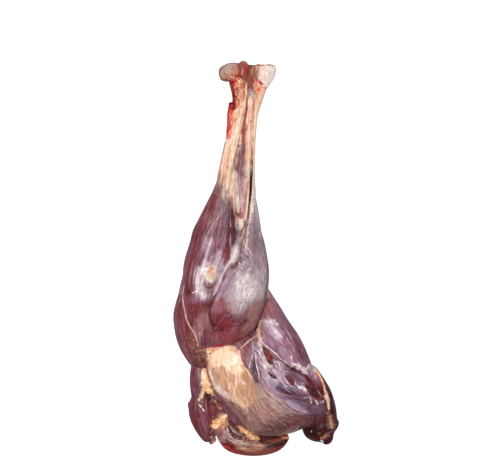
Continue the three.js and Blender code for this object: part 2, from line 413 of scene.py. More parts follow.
# Paints: a colour and the tissue that has it
PAINTS = {
    "maroon": ("#7e424c", "muscle"),
    "wine": ("#74303a", "muscle"),
    "deep maroon": ("#652631", "muscle"),
    "purple": ("#653c52", "muscle"),
    "purple brown": ("#8f5f64", "muscle"),
    "rose brown": ("#904a50", "bare muscle"),
    "rose": ("#a96f77", "bare muscle"),
    "red brown": ("#7f2f31", "bare muscle"),
    "low maroon": ("#7a3c44", "smooth muscle"),
    "low rose": ("#985158", "smooth muscle"),
    "low red": ("#7c2d30", "smooth muscle"),
    "dark brown": ("#431816", "bare muscle"),
    "lobe brown": ("#512321", "bare muscle"),
    "rust brown": ("#8c4c42", "bare muscle"),
    "brown": ("#7c4a3a", "bare muscle"),
    "meat window": ("#6e2b29", "bare muscle"),
    "grey lilac": ("#96838c", "silverskin"),
    "mauve": ("#9f7289", "silverskin"),
    "lilac": ("#b396a8", "silverskin"),
    "blue lilac": ("#8a7790", "silverskin"),
    "plum": ("#5d4259", "silverskin"),
    "pale lilac": ("#cebcc9", "silverskin"),
    "pearl": ("#c4b9bb", "silverskin"),
    "pink grey": ("#dad0cf", "silverskin"),
    # silver and white film are silverskin tones, also laid as painted highlights and glints
    "silver": ("#e8dce6", "silverskin"),
    "white film": ("#f8f2f0", "silverskin"),
    "tan grey": ("#a88a7c", "silverskin"),
    "pink tan": ("#b58a82", "silverskin"),
    "rose grey": ("#c9a3a3", "silverskin"),
    "dusk": ("#6f4853", "silverskin"),
    "slate": ("#7d8796", "silverskin"),
    # rim grey is mostly laid as painted rim highlight along outlines and as painted shade between wrinkles
    "rim grey": ("#957679", "silverskin"),
    "cream": ("#f3e0c2", "tendon"),
    "cream pink": ("#f0cdb4", "tendon"),
    "tendon cream": ("#ecd0b0", "tendon"),
    "olive": ("#b89a66", "tendon"),
    "bone grey": ("#ddd2c8", "tendon"),
    "fascia cream": ("#fbdfc0", "tendon"),
    "fascia light": ("#dfb698", "tendon"),
    "fascia tan": ("#cd9d80", "tendon"),
    "fascia brown": ("#b5825c", "tendon"),
    "orange flesh": ("#de8a68", "tendon"),
    "pink orange": ("#f4a884", "tendon"),
    "pale fat": ("#fbe8c8", "fat"),
    "fat": ("#f8dcae", "fat"),
    "orange fat": ("#f0c496", "fat"),
    "blood": ("#8a1820", "blood"),
    "bright blood": ("#cf4a42", "blood"),
    "red edge": ("#c4281f", "blood"),
    "rust": ("#9f463c", "blood"),
    "groove brown": ("#94604f", "blood"),
    # deep crease is painted shade, laid in creases, slits and grooves
    "deep crease": ("#541b22", "blood"),
    "black red": ("#260a09", "blood"),
    "cartilage": ("#c4a298", "bone"),
    "cartilage rim": ("#8b7565", "bone"),
    "bone white": ("#fffaf3", "bone"),
    "bone pink": ("#f3cfcb", "bone"),
}

# The paint that each part starts with
GROUND = {
    "left_condyle": "cartilage", "condyle_lip": "cartilage rim", "ridge": "cartilage",
    "right_condyle": "bone white", "shaft": "groove brown", "shank": "cream pink", "torn_top": "blood",
    "torn_tissue": "bright blood", "torn_edge": "cream pink", "blood_lump": "blood",
    "sinew_bed": "orange flesh", "sinew_left": "orange flesh", "sinew_right": "orange flesh",
    "sinew_inner": "fascia light", "left_tendon": "cream", "outer_tendon": "cream pink",
    "middle_strip": "purple brown", "strip_bed": "rose grey", "centre_tendon": "cream pink",
    "right_tendon": "cream", "drumstick": "maroon", "back_of_calf": "maroon", "shin_muscle": "maroon",
    "calf_muscle": "grey lilac", "calf_base": "rose brown", "outer_muscle": "maroon", "seam_strip": "pearl",
    "seam_fold": "lilac", "thigh": "maroon", "back_of_thigh": "maroon", "rear_muscle": "purple brown",
    "rear_band": "mauve", "lower_band": "blue lilac", "fan_muscle": "tan grey", "knee_cap": "fascia light",
    "rear_lobe": "lobe brown", "lobe_knob": "lobe brown", "edge_roll": "red brown", "edge_muscle": "wine",
    "front_lobe": "wine", "lobe_nub": "wine", "hip_meat": "deep maroon", "hip_flap": "rust brown",
    "knee_fat": "fat", "left_prong": "pale fat", "right_prong": "fat", "hip_fat": "orange fat",
    "flap_fat": "orange fat", "hollow_crumb": "fascia tan", "lobe_shred": "red brown", "torn_red": "blood",
    "torn_orange": "orange flesh", "torn_cream": "cream",
}


def touch(
    paint, strength, *path, soft=0.7, ragged=0.3, streaky=0.0, patchy=0.35, lift=0.0, deep=False, closed=False
):
    """A brush stroke seen from above: photograph pixels and half width at each turn, and its relief in mm."""
    return {
        "paint": paint, "strength": min(strength, 1.0), "path": np.array(path, float), "soft": soft,
        "ragged": ragged, "streaky": streaky, "patchy": patchy, "lift": lift, "deep": deep, "closed": closed,
    }


def smear(paint, strength, *path, **options):
    """A stroke that fades all the way from its middle to its rim."""
    return touch(paint, strength, *path, soft=1, **options)


def area(paint, strength, soft, *path, ragged=1.2, patchy=0.3, **options):
    """A painted area seen from above: the half width of its soft edge in pixels, and its outline."""
    return touch(paint, strength, *path, soft=soft, ragged=ragged, patchy=patchy, closed=True, **options)


# Strokes and areas from the ankle to the hip, each table in the order in which it is laid
ANKLE_TOUCHES = {
    "condyle face": smear("pearl", 0.45, (226, 71, 2.6), (231, 69, 3)),
    "condyle top": smear("pink grey", 0.5, (224.6, 66.6, 1.2), (229, 65, 1.6), (235, 64.8, 1.2), ragged=0.5),
    "condyle warm": area(
        "fascia tan", 0.6, 2, (223, 74), (229, 72), (236, 70), (238, 75), (232, 76), (228, 80),
        (224, 79.6)),
    "condyle rim": touch(
        "cartilage rim", 0.9, (239, 63, 1.5), (229, 63.4, 1.8), (222, 67.4, 2.2), (219.4, 73, 2.3),
        (221.5, 78.5, 2), (225, 81, 1.4), soft=0.95, lift=0.8),
    "tan by the ridge": area("fascia tan", 0.8, 1.5, (233, 66), (238, 65), (239, 72), (236, 77), (233, 75)),
    "torn flesh": area(
        "orange flesh", 0.55, 1.5, (233, 74), (240, 71), (246, 76), (247, 90), (245, 100), (240, 106),
        (234, 104), (232, 92), (230, 82), ragged=2, lift=0.6),
    "torn light": area(
        "pink orange", 0.75, 1.5, (235, 81), (242, 79), (243.4, 86), (240, 90), (235.4, 88), ragged=2),
    "torn red": touch(
        "blood", 0.9, (227, 79.4, 1), (229.6, 81, 2), (232, 83, 2.8), (235, 79.6, 1.8), ragged=0.8),
    "torn black": touch("black red", 0.8, (230.6, 84, 1), (233, 82.6, 1.4), (235.4, 80.6, 0.8), ragged=0.7),
    "red arc": touch("red edge", 0.85, (234.6, 74.4, 0.8), (237.6, 77, 1.4), (239.4, 79.6, 1), ragged=0.6),
    "red flecks": touch(
        "bright blood", 0.7, (228.5, 77, 1), (233, 75, 1.4), (241, 76, 1.6), ragged=0.8, patchy=0.7),
    "white fleck": touch("white film", 0.9, (231.2, 76.8, 1.2), (233, 77.6, 1), ragged=0.6),
    "ridge face": area(
        "rust", 0.95, 1.5, (238, 65), (243, 63), (248, 66), (247, 76), (243, 80), (239, 75), ragged=1.6),
    "ridge grey": touch(
        "cartilage rim", 0.9, (238.6, 62.6, 1.3), (243.5, 61.6, 1.8), (247.8, 64, 1.2), soft=0.95),
    "ridge purple": touch("deep maroon", 0.9, (240, 66, 1.5), (241, 73, 1.8), (243, 78, 1.1), ragged=0.7),
    "ridge red": touch(
        "red edge", 0.9, (244.6, 64.8, 1.2), (246.4, 67, 1.6), (246.4, 72, 1.5), (245, 75.5, 0.9),
        ragged=0.6),
    "ridge tan": touch("pink orange", 0.6, (242.6, 69, 0.7), (242, 74, 1), ragged=0.6),
    "ridge slit": touch("blood", 0.9, (247.2, 75, 0.7), (245.4, 83, 0.9)),
    "groove": area(
        "groove brown", 0.9, 0.8, (249.8, 63.6), (253.8, 63.6), (253.6, 91), (250, 91), ragged=0.8,
        lift=-0.8),
    "groove left": touch(
        "rust", 0.8, (248.8, 66, 1.1), (248.9, 77, 1.1), (248.6, 88, 1), ragged=0.6, patchy=0.6),
    "groove shade": smear(
        "deep crease", 0.65, (251.4, 66, 0.9), (251.6, 80, 1.1), (251.6, 89, 0.9), ragged=0.5),
    "groove side": area(
        "fascia brown", 0.8, 1.2, (253.6, 65), (259.6, 65), (260, 76), (257.6, 81), (253.6, 83),
        ragged=1.4),
    "groove side brown": touch(
        "brown", 0.5, (254.6, 66, 0.9), (255, 75, 1), (255.6, 82, 0.8), ragged=0.8, patchy=0.6),
    "groove side red": touch(
        "rust", 0.75, (255.4, 67, 0.9), (256.6, 74, 1.1), (256, 80, 1), ragged=0.8, patchy=0.6),
    "groove flesh": area("pink orange", 0.75, 1.5, (254, 82), (259, 82), (260, 92), (255, 93), ragged=1.6),
    "condyle blush": area("bone pink", 0.3, 3, (267, 66), (276, 66), (276, 75), (270, 89), (266, 84)),
    "condyle edge": touch("bone pink", 0.9, (276, 66, 0.9), (276.6, 73, 1), (273, 83, 1.2), (269, 90, 1)),
    "condyle cream": area("fascia light", 0.55, 1.6, (260, 65.4), (265.4, 65.4), (264.6, 80), (260.6, 80)),
    "top line": touch("groove brown", 1, (253, 65.2, 0.7), (264, 65.4, 0.8), (276, 64.9, 0.7)),
    "red tip": touch("bright blood", 0.9, (268, 63.8, 0.8), (271.6, 63.4, 0.9)),
    "pink round the spot": smear("bright blood", 0.8, (256, 80.5, 1.4), (259.5, 82.6, 2.6), ragged=0.6),
    "red spot": touch("red edge", 1, (260, 82.6, 1.4), (262, 84.2, 1.9), patchy=0.1),
    "red spot dark": touch("blood", 0.8, (261.6, 84, 1)),
    "fringe": touch(
        "pink orange", 0.9, (256.6, 87, 1.5), (262, 88.2, 2.1), (266, 88, 1.9), (268.4, 86.6, 0.9),
        ragged=0.8, lift=0.6),
    "ankle membrane": area("pearl", 0.85, 1.6, (249, 91), (254, 90.4), (255, 101), (248.6, 102)),
    "cream by the membrane": area("cream pink", 0.9, 0.9, (254.6, 92), (260, 91.6), (259.6, 101), (255, 102)),
    "left of the membrane": area("fascia light", 0.6, 1.4, (243, 92), (247.6, 92), (247.4, 100), (242, 100)),
    "olive strip": touch("olive", 0.85, (246.8, 88, 0.8), (246.6, 93, 0.9), (246.8, 97, 0.7)),
    "sinew slit": touch("deep crease", 0.9, (246.4, 76, 0.6), (245, 81, 0.8), (244.6, 88, 0.6)),
    "fringe red left": touch("bright blood", 0.9, (258, 88.5, 0.7), (260, 91, 0.7), ragged=0.6),
    "fringe red right": touch("bright blood", 0.9, (264.5, 89, 0.7), (266.8, 90.6, 0.9), ragged=0.6),
}
SHANK_TOUCHES = {
    "sinew tan": touch("fascia light", 0.9, (236, 84, 1), (236.5, 93, 1.4), (238, 103, 1), ragged=0.7),
    "sinew light": touch(
        "fascia cream", 0.7, (240, 80, 1), (239.5, 89, 1.4), (241, 98, 1.2), ragged=0.7, patchy=0.6),
    "sinew red": touch("red edge", 0.8, (242.8, 84, 0.9), (243.4, 92, 1.4), (242.2, 97, 0.6), ragged=0.8),
    "sinew red low": touch("rust", 0.8, (236.6, 88, 0.8), (237.6, 97, 0.9), (239.5, 106, 0.7), ragged=0.6),
    "inner cream": touch("cream", 0.8, (246.4, 84, 0.7), (246.4, 95, 0.8)),
    "torn dark edge": touch(
        "blood", 1, (230.4, 80, 1.8), (232.8, 88, 2.4), (234, 96, 2.6), (234.2, 103, 2.6), ragged=0.6),
    "torn black edge": touch(
        "black red", 0.6, (232.4, 85, 0.9), (234.4, 93, 1), (234.4, 101, 1.1), ragged=0.8),
    "lump": area("blood", 1, 0.8, (229, 103), (234, 101), (236, 107), (234.6, 110.5), (229, 108)),
    "lump shade": smear("black red", 0.8, (233.8, 108.4, 1.6)),
    "red tissue": area(
        "bright blood", 0.75, 1.5, (227, 108), (233, 109), (235, 118), (233, 130), (230.5, 139.5),
        (225.5, 138.5), (226, 122), ragged=0.8),
    "blood in tissue": touch("blood", 0.7, (228.5, 111, 1), (231, 118, 1.6), (230.4, 128, 1), ragged=0.8),
    "pink in tissue": touch(
        "pink orange", 0.75, (233, 113, 1), (232.6, 121, 1.1), (232, 132, 0.8), ragged=0.7),
    "outer tendon": area(
        "cream pink", 0.9, 0.7, (235.5, 111), (236, 116), (232.5, 138), (228.8, 152), (226.4, 166),
        (226, 182), (222.5, 186), (219.4, 180), (221.4, 166), (225, 142), (231, 139), (233.6, 120),
        ragged=0.5),
    "inner tendon": area(
        "tendon cream", 0.9, 0.7, (246, 96), (245, 106), (242.8, 122), (240, 138), (236.4, 154),
        (233.4, 170), (232, 186), (230.6, 198), (226, 204), (222, 196), (225, 184), (226.8, 166),
        (229.4, 150), (233, 136), (236, 118), (241, 104), ragged=0.5),
    "inner tendon top": area(
        "fascia light", 0.8, 2, (246, 97), (244.2, 108), (242, 124), (238, 129), (236.4, 118),
        (240.4, 104)),
    "inner tendon pink": smear("cream pink", 0.6, (240.4, 112, 1), (236.4, 134, 1.4), (231, 158, 1.4)),
    "line between tendons": touch(
        "fascia brown", 0.9, (236.2, 113, 0.5), (232.2, 138, 0.6), (228.4, 155, 0.7), (226.4, 168, 0.5),
        lift=-0.8),
    "pink by the tendon": smear("pink orange", 0.6, (225.6, 174, 0.8), (226.2, 188, 0.8)),
    "green by the tendon": smear("fascia cream", 0.6, (228.2, 176, 1), (228.6, 190, 1)),
    "shade of outline": touch("mauve", 0.7, (225, 142, 0.6), (220.6, 166, 0.7), (218.2, 181, 1)),
    "strip brown": area(
        "purple brown", 0.9, 0.9, (244.4, 132), (244.8, 150), (243.4, 170), (242, 180), (238, 172),
        (235.4, 168), (238.6, 150), (241.4, 138)),
    "strip shadow": touch(
        "black red", 0.8, (240, 138, 0.5), (237.4, 151, 0.8), (235.2, 162, 1.1), (234, 171, 0.8), lift=-0.8,
        deep=True),
    "strip pale": area(
        "bone grey", 0.85, 1.6, (234.6, 171), (237.4, 174), (240, 184), (245, 166), (248.6, 162),
        (248, 180), (244, 196), (240, 208), (238, 212), (234.4, 206), (232, 190)),
    "strip mauve": touch(
        "mauve", 0.9, (239.5, 168, 1.8), (239, 184, 2), (239.6, 196, 1.6), (239, 203, 0.8), streaky=0.2,
        soft=0.95),
    "strip pink": touch("cream pink", 0.8, (234, 190, 0.8), (235.2, 204, 1.2), (238, 212, 1)),
    "strip red side": smear(
        "low red", 0.75, (248, 181, 0.5), (246.6, 193, 1), (245, 203, 1.2), (243.4, 213, 1.6), deep=True),
    "strip rose": area(
        "rose grey", 0.9, 1, (240.4, 180), (245, 180), (244.4, 197), (242.4, 209), (239.6, 206),
        (240.2, 196), deep=True),
    "under the notch": area(
        "bone grey", 0.85, 1.4, (235.6, 219), (243, 219), (244, 226), (241, 231), (237.4, 229)),
    "below the notch": area(
        "grey lilac", 0.8, 1.4, (237, 230), (241.6, 231), (240.6, 243), (238, 247), (236, 240)),
    "centre tendon": area(
        "cream pink", 0.9, 0.7, (249, 97), (253.6, 96), (253.6, 120), (252.4, 140), (251, 160),
        (249.6, 178), (245.4, 182), (246.4, 160), (246, 142), (248, 120), ragged=0.5),
    "centre tendon pale": area(
        "bone grey", 0.75, 1.5, (246, 160), (249.4, 160), (248.8, 178), (246.6, 184), (245, 182)),
    "strip top": touch(
        "rust", 0.95, (247, 98, 1), (246.6, 106, 1.5), (246, 112, 2), (245.2, 118, 2.2), (244.6, 124, 2.5),
        (243.8, 130, 2.5), (243.2, 135, 1.9), (242.8, 141, 0.8), soft=0.5, patchy=0.1, lift=-0.6),
    "strip core": touch(
        "red brown", 0.85, (247, 101, 0.8), (246, 113, 1.2), (245, 124, 1.4), (243.6, 133, 1.1), lift=-0.6),
    "tendon tan": touch("fascia tan", 0.8, (246.3, 138, 0.8), (247.4, 149, 1), (247.7, 158, 0.6)),
    "tendon orange": touch("orange flesh", 0.6, (251.6, 142, 0.5), (251, 156, 0.9), (250.6, 166, 0.5)),
    "tendon red dot": touch("rust", 0.9, (251, 120.4, 0.7), (250.9, 122.2, 0.7)),
    "tan line": touch(
        "fascia brown", 0.9, (254.6, 94, 0.6), (254.3, 110, 0.6), (253.4, 125, 0.6), (253, 140, 0.6),
        lift=-0.8),
    "red slit": touch(
        "rust", 0.95, (252.9, 136, 0.6), (252.6, 150, 0.9), (252.2, 164, 1), lift=-1, deep=True),
    "cream by the slit": touch(
        "cream pink", 0.9, (248.6, 188, 0.7), (247.6, 204, 0.8), (246.2, 218, 0.8), (244.2, 230, 0.8),
        (241.4, 243, 0.6)),
    "right tendon": area(
        "cream", 0.9, 0.7, (268, 90), (263, 98), (259.4, 110), (257.4, 124), (256.2, 140), (255.4, 172),
        (253, 172), (253.2, 150), (254, 130), (255.4, 112), (257, 96), ragged=0.5),
    "right tendon tan": area(
        "fascia light", 0.85, 1.2, (258, 92), (265, 91), (261, 102), (257.6, 114), (256, 112)),
    "right tendon pale": area(
        "bone grey", 0.9, 1.2, (253, 168), (255.6, 168), (256.4, 196), (257, 206), (254.4, 214), (250, 220),
        (250.4, 208), (252, 190)),
    "grey side": area(
        "pearl", 0.6, 5, (253, 188), (262, 180), (264, 208), (255, 208), ragged=4, streaky=0.6, deep=True),
}
TENDON_ENDS = {
    "tendon dusk": area(
        "tan grey", 0.75, 2.4, (216.5, 172), (221.5, 173), (224, 182), (224.6, 194), (222, 202), (218, 200),
        (216, 188), streaky=0.3),
    "tendon ash": area(
        "bone grey", 0.6, 4, (223, 184), (231.8, 180), (232, 197), (229, 207), (224.6, 203), streaky=0.5),
    "tendon haze": area(
        "grey lilac", 0.6, 4, (220, 198), (231, 197), (231.6, 210), (228, 220), (221, 213), streaky=0.5),
    "shin top": area(
        "maroon", 0.6, 2.4, (216, 186), (219.6, 190), (220, 204), (216, 214), (211, 206), streaky=0.4),
    "pink of notch": touch(
        "cream pink", 0.9, (233, 196, 0.7), (234, 208, 1), (236.4, 217, 1.2), (239, 222, 1.4)),
    "notch hole": touch("black red", 0.9, (235.4, 212, 0.6), (237.8, 215, 0.8), lift=-0.8),
    "notch red": area(
        "rust", 0.85, 1, (236.6, 212), (239, 214.6), (241, 211), (243.4, 213), (242.6, 218.6), (239, 219.4),
        lift=-0.4),
    # Painted shade deep in the slit between the centre and right tendons
    "dark slit": touch(
        "black red", 1, (252.6, 158, 0.5), (252.2, 170, 0.7), (251.4, 178, 0.9), (250.8, 187, 1),
        (249.6, 200, 0.9), (248.4, 213, 0.7), (247.2, 225, 0.5), soft=0.6, ragged=0.05, patchy=0, lift=-1.5,
        deep=True),
}
SHIN_TOUCHES = {
    # Painted rim highlight: pale grey along the shin's left outline
    "left glow": smear("rose grey", 0.3, (184.6, 268, 1.2), (182.6, 282, 1.6), (181, 294, 1.2)),
    "left band": area(
        "wine", 0.75, 3.5, (212, 198), (212, 214), (205, 230), (201, 246), (198, 262), (194, 280),
        (193, 300), (184, 300), (183, 278), (186, 258), (190, 240), (196, 224), (204, 208), streaky=0.25),
    "shin rim": smear(
        "rim grey", 0.5, (216, 186, 1.2), (205, 207, 1.4), (193.5, 231, 1.4), (186.8, 254, 1.3),
        (182.6, 278, 1.2)),
    "film over the shin": area(
        "grey lilac", 0.5, 4, (220, 196), (230, 204), (229, 222), (225, 246), (214, 258), (203, 256),
        (205, 238), (211, 216), streaky=0.75),
    "short dark line": touch("dusk", 0.8, (219.8, 202, 0.7), (219.2, 213, 0.7)),
    "tan streaks": area(
        "tan grey", 0.55, 2.5, (209, 212), (217, 210), (216, 224), (210, 230), (206, 224), streaky=0.6),
    "mauve flush": area(
        "mauve", 0.35, 3, (208, 238), (221, 238), (222, 250), (214, 258), (203, 262), (202, 250),
        streaky=0.6),
    "pale thread 1": touch(
        "pale lilac", 0.4, (216, 219, 0.5), (211, 228, 0.7), (207, 237, 0.6), (203.5, 248, 0.4)),
    "pale thread 2": touch("pale lilac", 0.5, (209, 231, 0.4), (204.5, 241, 0.5), (201, 250, 0.4)),
    "pale thread 3": touch("lilac", 0.35, (213, 235, 0.5), (208.5, 248, 0.7), (206.5, 258, 0.5)),
    "pale thread 4": touch("lilac", 0.5, (221, 226, 0.4), (217.5, 240, 0.6), (216.5, 252, 0.5)),
    "purple by the seam": area(
        "purple", 0.4, 1.8, (229, 211), (232.2, 215), (235.6, 228), (236, 243), (232, 247), (228.6, 232),
        streaky=0.2),
    "white thread": touch("pale lilac", 0.9, (230, 221, 0.5), (230.9, 226.5, 0.6)),
    "red band": smear("wine", 0.5, (226.6, 228, 1), (227, 243, 1.4), (227, 252, 1.2)),
    "lilac line": touch("lilac", 0.9, (230.8, 234, 0.7), (230.8, 242, 1.2), (231.4, 250, 1.2)),
    "red patch": area(
        "rust", 0.6, 1.5, (221, 249), (227, 249), (229, 257), (227.6, 265), (222, 270), (220.4, 260),
        ragged=1.8, patchy=0.6),
    "magenta by the seam": smear("mauve", 0.7, (221.5, 268, 1.4), (221.6, 275, 1.2)),
    # Silverskin on the shin with its broad wet highlight painted into it: painted highlight in pale film
    # tones
    "silver sheen halo": area(
        "pale lilac", 0.7, 3.5, (196, 268), (203, 261), (209, 260), (215, 257), (219, 250), (223, 254),
        (222, 270), (218, 285), (214, 300), (203, 302), (196, 294), (194, 280), streaky=0.5),
    "silver sheen left": area(
        "white film", 0.55, 2.6, (196.6, 269), (202, 265), (204.6, 274), (203, 288), (209, 297),
        (201.4, 299), (196.6, 284), (195, 276), streaky=0.5),
    "silver sheen right": area(
        "silver", 0.6, 2, (216, 254), (220.6, 252), (221, 263), (217.6, 270), (212.6, 268), (213.6, 260),
        streaky=0.5),
    "seam left pale": area(
        "pale lilac", 0.8, 1.8, (216, 262), (222, 262), (221.6, 274), (219, 286), (215, 297), (213, 294),
        (214.6, 280), streaky=0.2),
    "gap in the silver": smear("mauve", 0.75, (207.4, 254, 1), (208.8, 262, 1.4), streaky=0.3),
    "dark fleck in film": touch("dusk", 0.8, (209, 263, 0.9)),
    "cream patch": area(
        "cream", 0.75, 2, (205.6, 268), (212.6, 264.6), (217.6, 270), (216.4, 280), (210, 283), (205, 280),
        ragged=2.6, patchy=0.5),
    "cream patch white": area(
        "white film", 0.55, 1.6, (205, 268), (208, 267), (208, 278), (213, 281), (209, 283), (204.6, 279)),
    "orange spot": smear("pink orange", 0.85, (210.6, 269.6, 2.4), (211.6, 273.6, 2.1), ragged=0.5),
    "hollow": area(
        "rose brown", 0.75, 1.6, (204, 281), (207, 285), (211, 285.6), (215.4, 281.6), (215.4, 287.6),
        (210.6, 290.6), (205.6, 289), lift=-0.6),
    "hollow deep": touch("red brown", 0.8, (206, 286.6, 0.8), (209.5, 288, 1), (213, 286.6, 0.8)),
    "dark spot": smear("black red", 0.75, (188.6, 290.4, 2.6), (189.2, 293, 2)),
    "cream fleck": touch("fascia cream", 0.9, (192.4, 292.6, 0.4), (196.6, 291.2, 0.7)),
    "magenta low": area(
        "mauve", 0.45, 2.5, (192, 294), (200, 299), (208, 301), (212, 303), (202, 306), (192, 302)),
    "brown flush": area(
        "red brown", 0.85, 3, (186, 303), (198, 302), (210, 304), (207, 313), (196, 318), (187, 314)),
    "tan patch": area(
        "pink tan", 0.65, 3.6, (205, 309), (209.6, 311), (208, 324), (203, 334), (196, 339), (193, 332),
        (198, 320), streaky=0.4),
    "tan patch end": smear("pale lilac", 0.4, (199.4, 334, 0.8), (203, 327.6, 0.9)),
    "seam white": area(
        "pink grey", 0.65, 1.4, (233, 245), (237.6, 247), (239, 253), (236, 260.6), (230, 264.6),
        (225.2, 270), (221.2, 279), (217.4, 289), (214.6, 298), (213.6, 296), (215.6, 286), (219.2, 276),
        (224, 267), (230, 257), ragged=0.8),
    "seam sheen": touch(
        "white film", 0.4, (236, 247.6, 0.6), (234, 255, 1.2), (227.5, 265.6, 0.7), (221.4, 275.6, 0.8),
        (217.6, 286, 0.7), (215.4, 294, 0.5), soft=0.95),
    "seam dark": area(
        "red brown", 0.9, 0.8, (238.8, 256), (238.8, 261.6), (235.4, 266.6), (229.6, 271), (231, 266.6),
        (236, 262), lift=-0.6),
    "seam lilac": area(
        "lilac", 0.9, 1, (229, 270), (233.4, 269.6), (231, 279), (228, 289), (225, 298), (219.6, 299),
        (214, 304), (217, 294), (222, 285), (226, 277)),
    "seam blue line": touch(
        "plum", 0.75, (229, 270, 0.5), (224.4, 279, 1.1), (220, 289, 0.9), (217, 296, 0.5), soft=0.9),
    "seam white edge": touch(
        "white film", 0.6, (225, 270.4, 0.5), (221.2, 279, 0.7), (217.6, 288, 0.6), (215.4, 295, 0.4)),
    "seam mauve": touch("mauve", 0.75, (232.6, 271, 0.9), (229.8, 279, 1.1), (226.6, 290, 1.1)),
}
CALF_TOUCHES = {
    "side film": area(
        "grey lilac", 0.55, 4, (259, 218), (272, 222), (277, 262), (274, 302), (267.6, 300), (268, 262),
        (263.6, 240), ragged=4, streaky=0.7, deep=True),
    "cream side": area(
        "bone grey", 0.65, 7, (254, 186), (263, 186), (265, 208), (262, 224), (257, 220), (254.6, 206),
        ragged=5, streaky=0.7, deep=True),
    # The calf's pale face: silverskin with the calf's broad highlight painted into it
    "pearl face": area(
        "pearl", 0.8, 4.5, (240, 268), (250, 274), (258, 270), (265, 268), (267.4, 278), (264.6, 296),
        (255, 303), (241, 308), (235, 308), (229, 302), (226, 295), (229, 283), (234, 273), streaky=0.25),
    "pale face": area(
        "pink grey", 0.6, 4.5, (240, 277), (246, 274), (256, 279), (260, 290), (252, 300), (242, 306),
        (237, 307), (234, 298), streaky=0.2),
    "lilac right": area("lilac", 0.45, 3, (260, 246), (266, 257), (267.4, 272), (262, 274), (257.6, 262)),
    "cream top": area(
        "cream", 0.75, 1.6, (250, 208), (252.6, 205), (250.8, 218), (248.8, 232), (246.8, 249),
        (244.4, 246), (245.8, 234), (247.6, 222), streaky=0.3),
    "pearl top": area(
        "bone grey", 0.7, 1.4, (250, 202), (253, 205), (251, 216), (249.4, 226), (247.6, 234), (246.8, 230),
        (248.8, 214)),
    "pearl edge": area(
        "bone grey", 0.65, 1.8, (254, 208), (258.6, 211), (262, 234), (259.6, 240), (256, 226),
        streaky=0.2),
    "slit tail": touch(
        "rust", 0.9, (247.2, 224, 0.5), (244.8, 234, 0.6), (242.2, 244, 0.6), (239.8, 254, 0.8), lift=-0.8),
    "grey spot": smear("rim grey", 0.8, (254.6, 206, 1.1), (255.2, 213, 1.6), (254.6, 219, 1.2)),
    "grey top": area(
        "grey lilac", 0.7, 1.8, (252.8, 213), (257.6, 220), (259.6, 240), (256, 250), (250.6, 240),
        (250.8, 226)),
    "purple top": area("dusk", 0.45, 2, (252.4, 229), (256.6, 228), (258, 242), (255, 252), (251.6, 246)),
    "dark dot": touch("deep maroon", 1, (253.5, 236.6, 1), soft=0.95, patchy=0),
    "wrinkle shade 1": touch("rim grey", 0.75, (245, 252.6, 0.9), (250.6, 260.4, 1.1), lift=-0.6),
    "wrinkle shade 2": touch("rim grey", 0.8, (241.4, 259.6, 1), (246.6, 265, 1.1), lift=-0.6),
    "wrinkle shade 3": touch("rim grey", 0.7, (238.4, 267, 0.9), (243, 271.6, 0.9), lift=-0.5),
    "wrinkle 1": touch(
        "white film", 0.5, (246.4, 246, 0.4), (249.4, 250, 0.6), (252.2, 255, 0.3), lift=0.6, ragged=0.1,
        patchy=0),
    "wrinkle 2": touch(
        "white film", 0.5, (240.6, 254, 0.4), (243, 256.2, 0.7), (246, 259.4, 0.4), lift=0.6, ragged=0.1,
        patchy=0),
    "wrinkle 3": touch(
        "white film", 0.5, (238.2, 261.6, 0.4), (240.4, 264.4, 0.7), (243, 268.4, 0.4), lift=0.6,
        ragged=0.1, patchy=0),
    "wrinkle 4": touch(
        "white film", 0.5, (235, 269.4, 0.4), (236.6, 272.6, 0.7), (239, 276, 0.3), lift=0.5, ragged=0.1,
        patchy=0),
    # Painted shade down the calf's right edge
    "right edge": smear(
        "dusk", 0.75, (266.6, 248, 1.2), (267.4, 268, 1.4), (266.6, 284, 1.5), (264, 300, 1.6),
        (260.6, 314, 1.5)),
    "low flush": area(
        "low maroon", 0.9, 3.5, (213, 304), (222, 298), (228, 303), (234, 314), (246, 311), (256, 307),
        (260, 314), (253, 327), (246, 338), (230, 345), (212, 345), (204, 336), (211, 328), (211, 314),
        streaky=0.15),
    "low red": area(
        "low red", 0.8, 3.5, (212, 320), (222, 318), (232, 320), (242, 325), (238, 331), (224, 331),
        (212, 330)),
    "low band": area(
        "low rose", 0.8, 3, (206, 336), (224, 333), (242, 330), (246, 336), (232, 343), (212, 343)),
    "bulge shade": smear(
        "red brown", 0.6, (215, 300, 1.6), (212.6, 310, 2.2), (213.4, 319, 2.8), (219, 325.4, 2.6),
        (229, 327, 2)),
    "face rose": area(
        "rose grey", 0.45, 2.5, (224, 298), (230, 300), (238, 308), (246, 309), (240, 314), (231, 312),
        (225, 305)),
    "low glow": area("rose", 0.8, 2.4, (213, 301), (221, 298), (226, 304), (222, 312), (214, 312)),
    "low purple": area("purple", 0.35, 2.5, (202, 338), (212, 337), (224, 341), (222, 346), (204, 347)),
    "low grey": area("pink tan", 0.7, 3, (250, 306), (261, 298), (263, 308), (256, 318), (247, 320)),
    "bulge tan": area(
        "pink tan", 0.75, 2.6, (242, 329), (250, 320), (259, 314), (258.6, 322), (249, 333), (243, 338)),
    # Painted shade along the lower right edge of the bulge
    "bulge edge": touch(
        "deep maroon", 0.8, (239, 345, 1.5), (247, 338, 1.8), (255, 328, 1.6), (262.4, 314, 1.2),
        soft=0.95),
    "red line": smear(
        "red edge", 0.85, (203, 348.2, 0.5), (211, 347.4, 1), (217, 346.2, 1.6), (223, 345.4, 1.7),
        (227, 346.4, 0.8), patchy=0.2, deep=True),
    "red line dark": smear("blood", 0.7, (214, 347, 0.7), (219, 346, 1.1), (223, 345.6, 0.8)),
    "red line right": smear(
        "bright blood", 0.75, (228, 347, 0.7), (233, 348.8, 1.2), (238.6, 351, 1.1), deep=True),
    "glow under the line": smear(
        "pink orange", 0.75, (204, 350, 0.7), (213, 349.6, 1.2), (222, 348.6, 1.2), (230, 350.4, 1.1),
        deep=True),
}
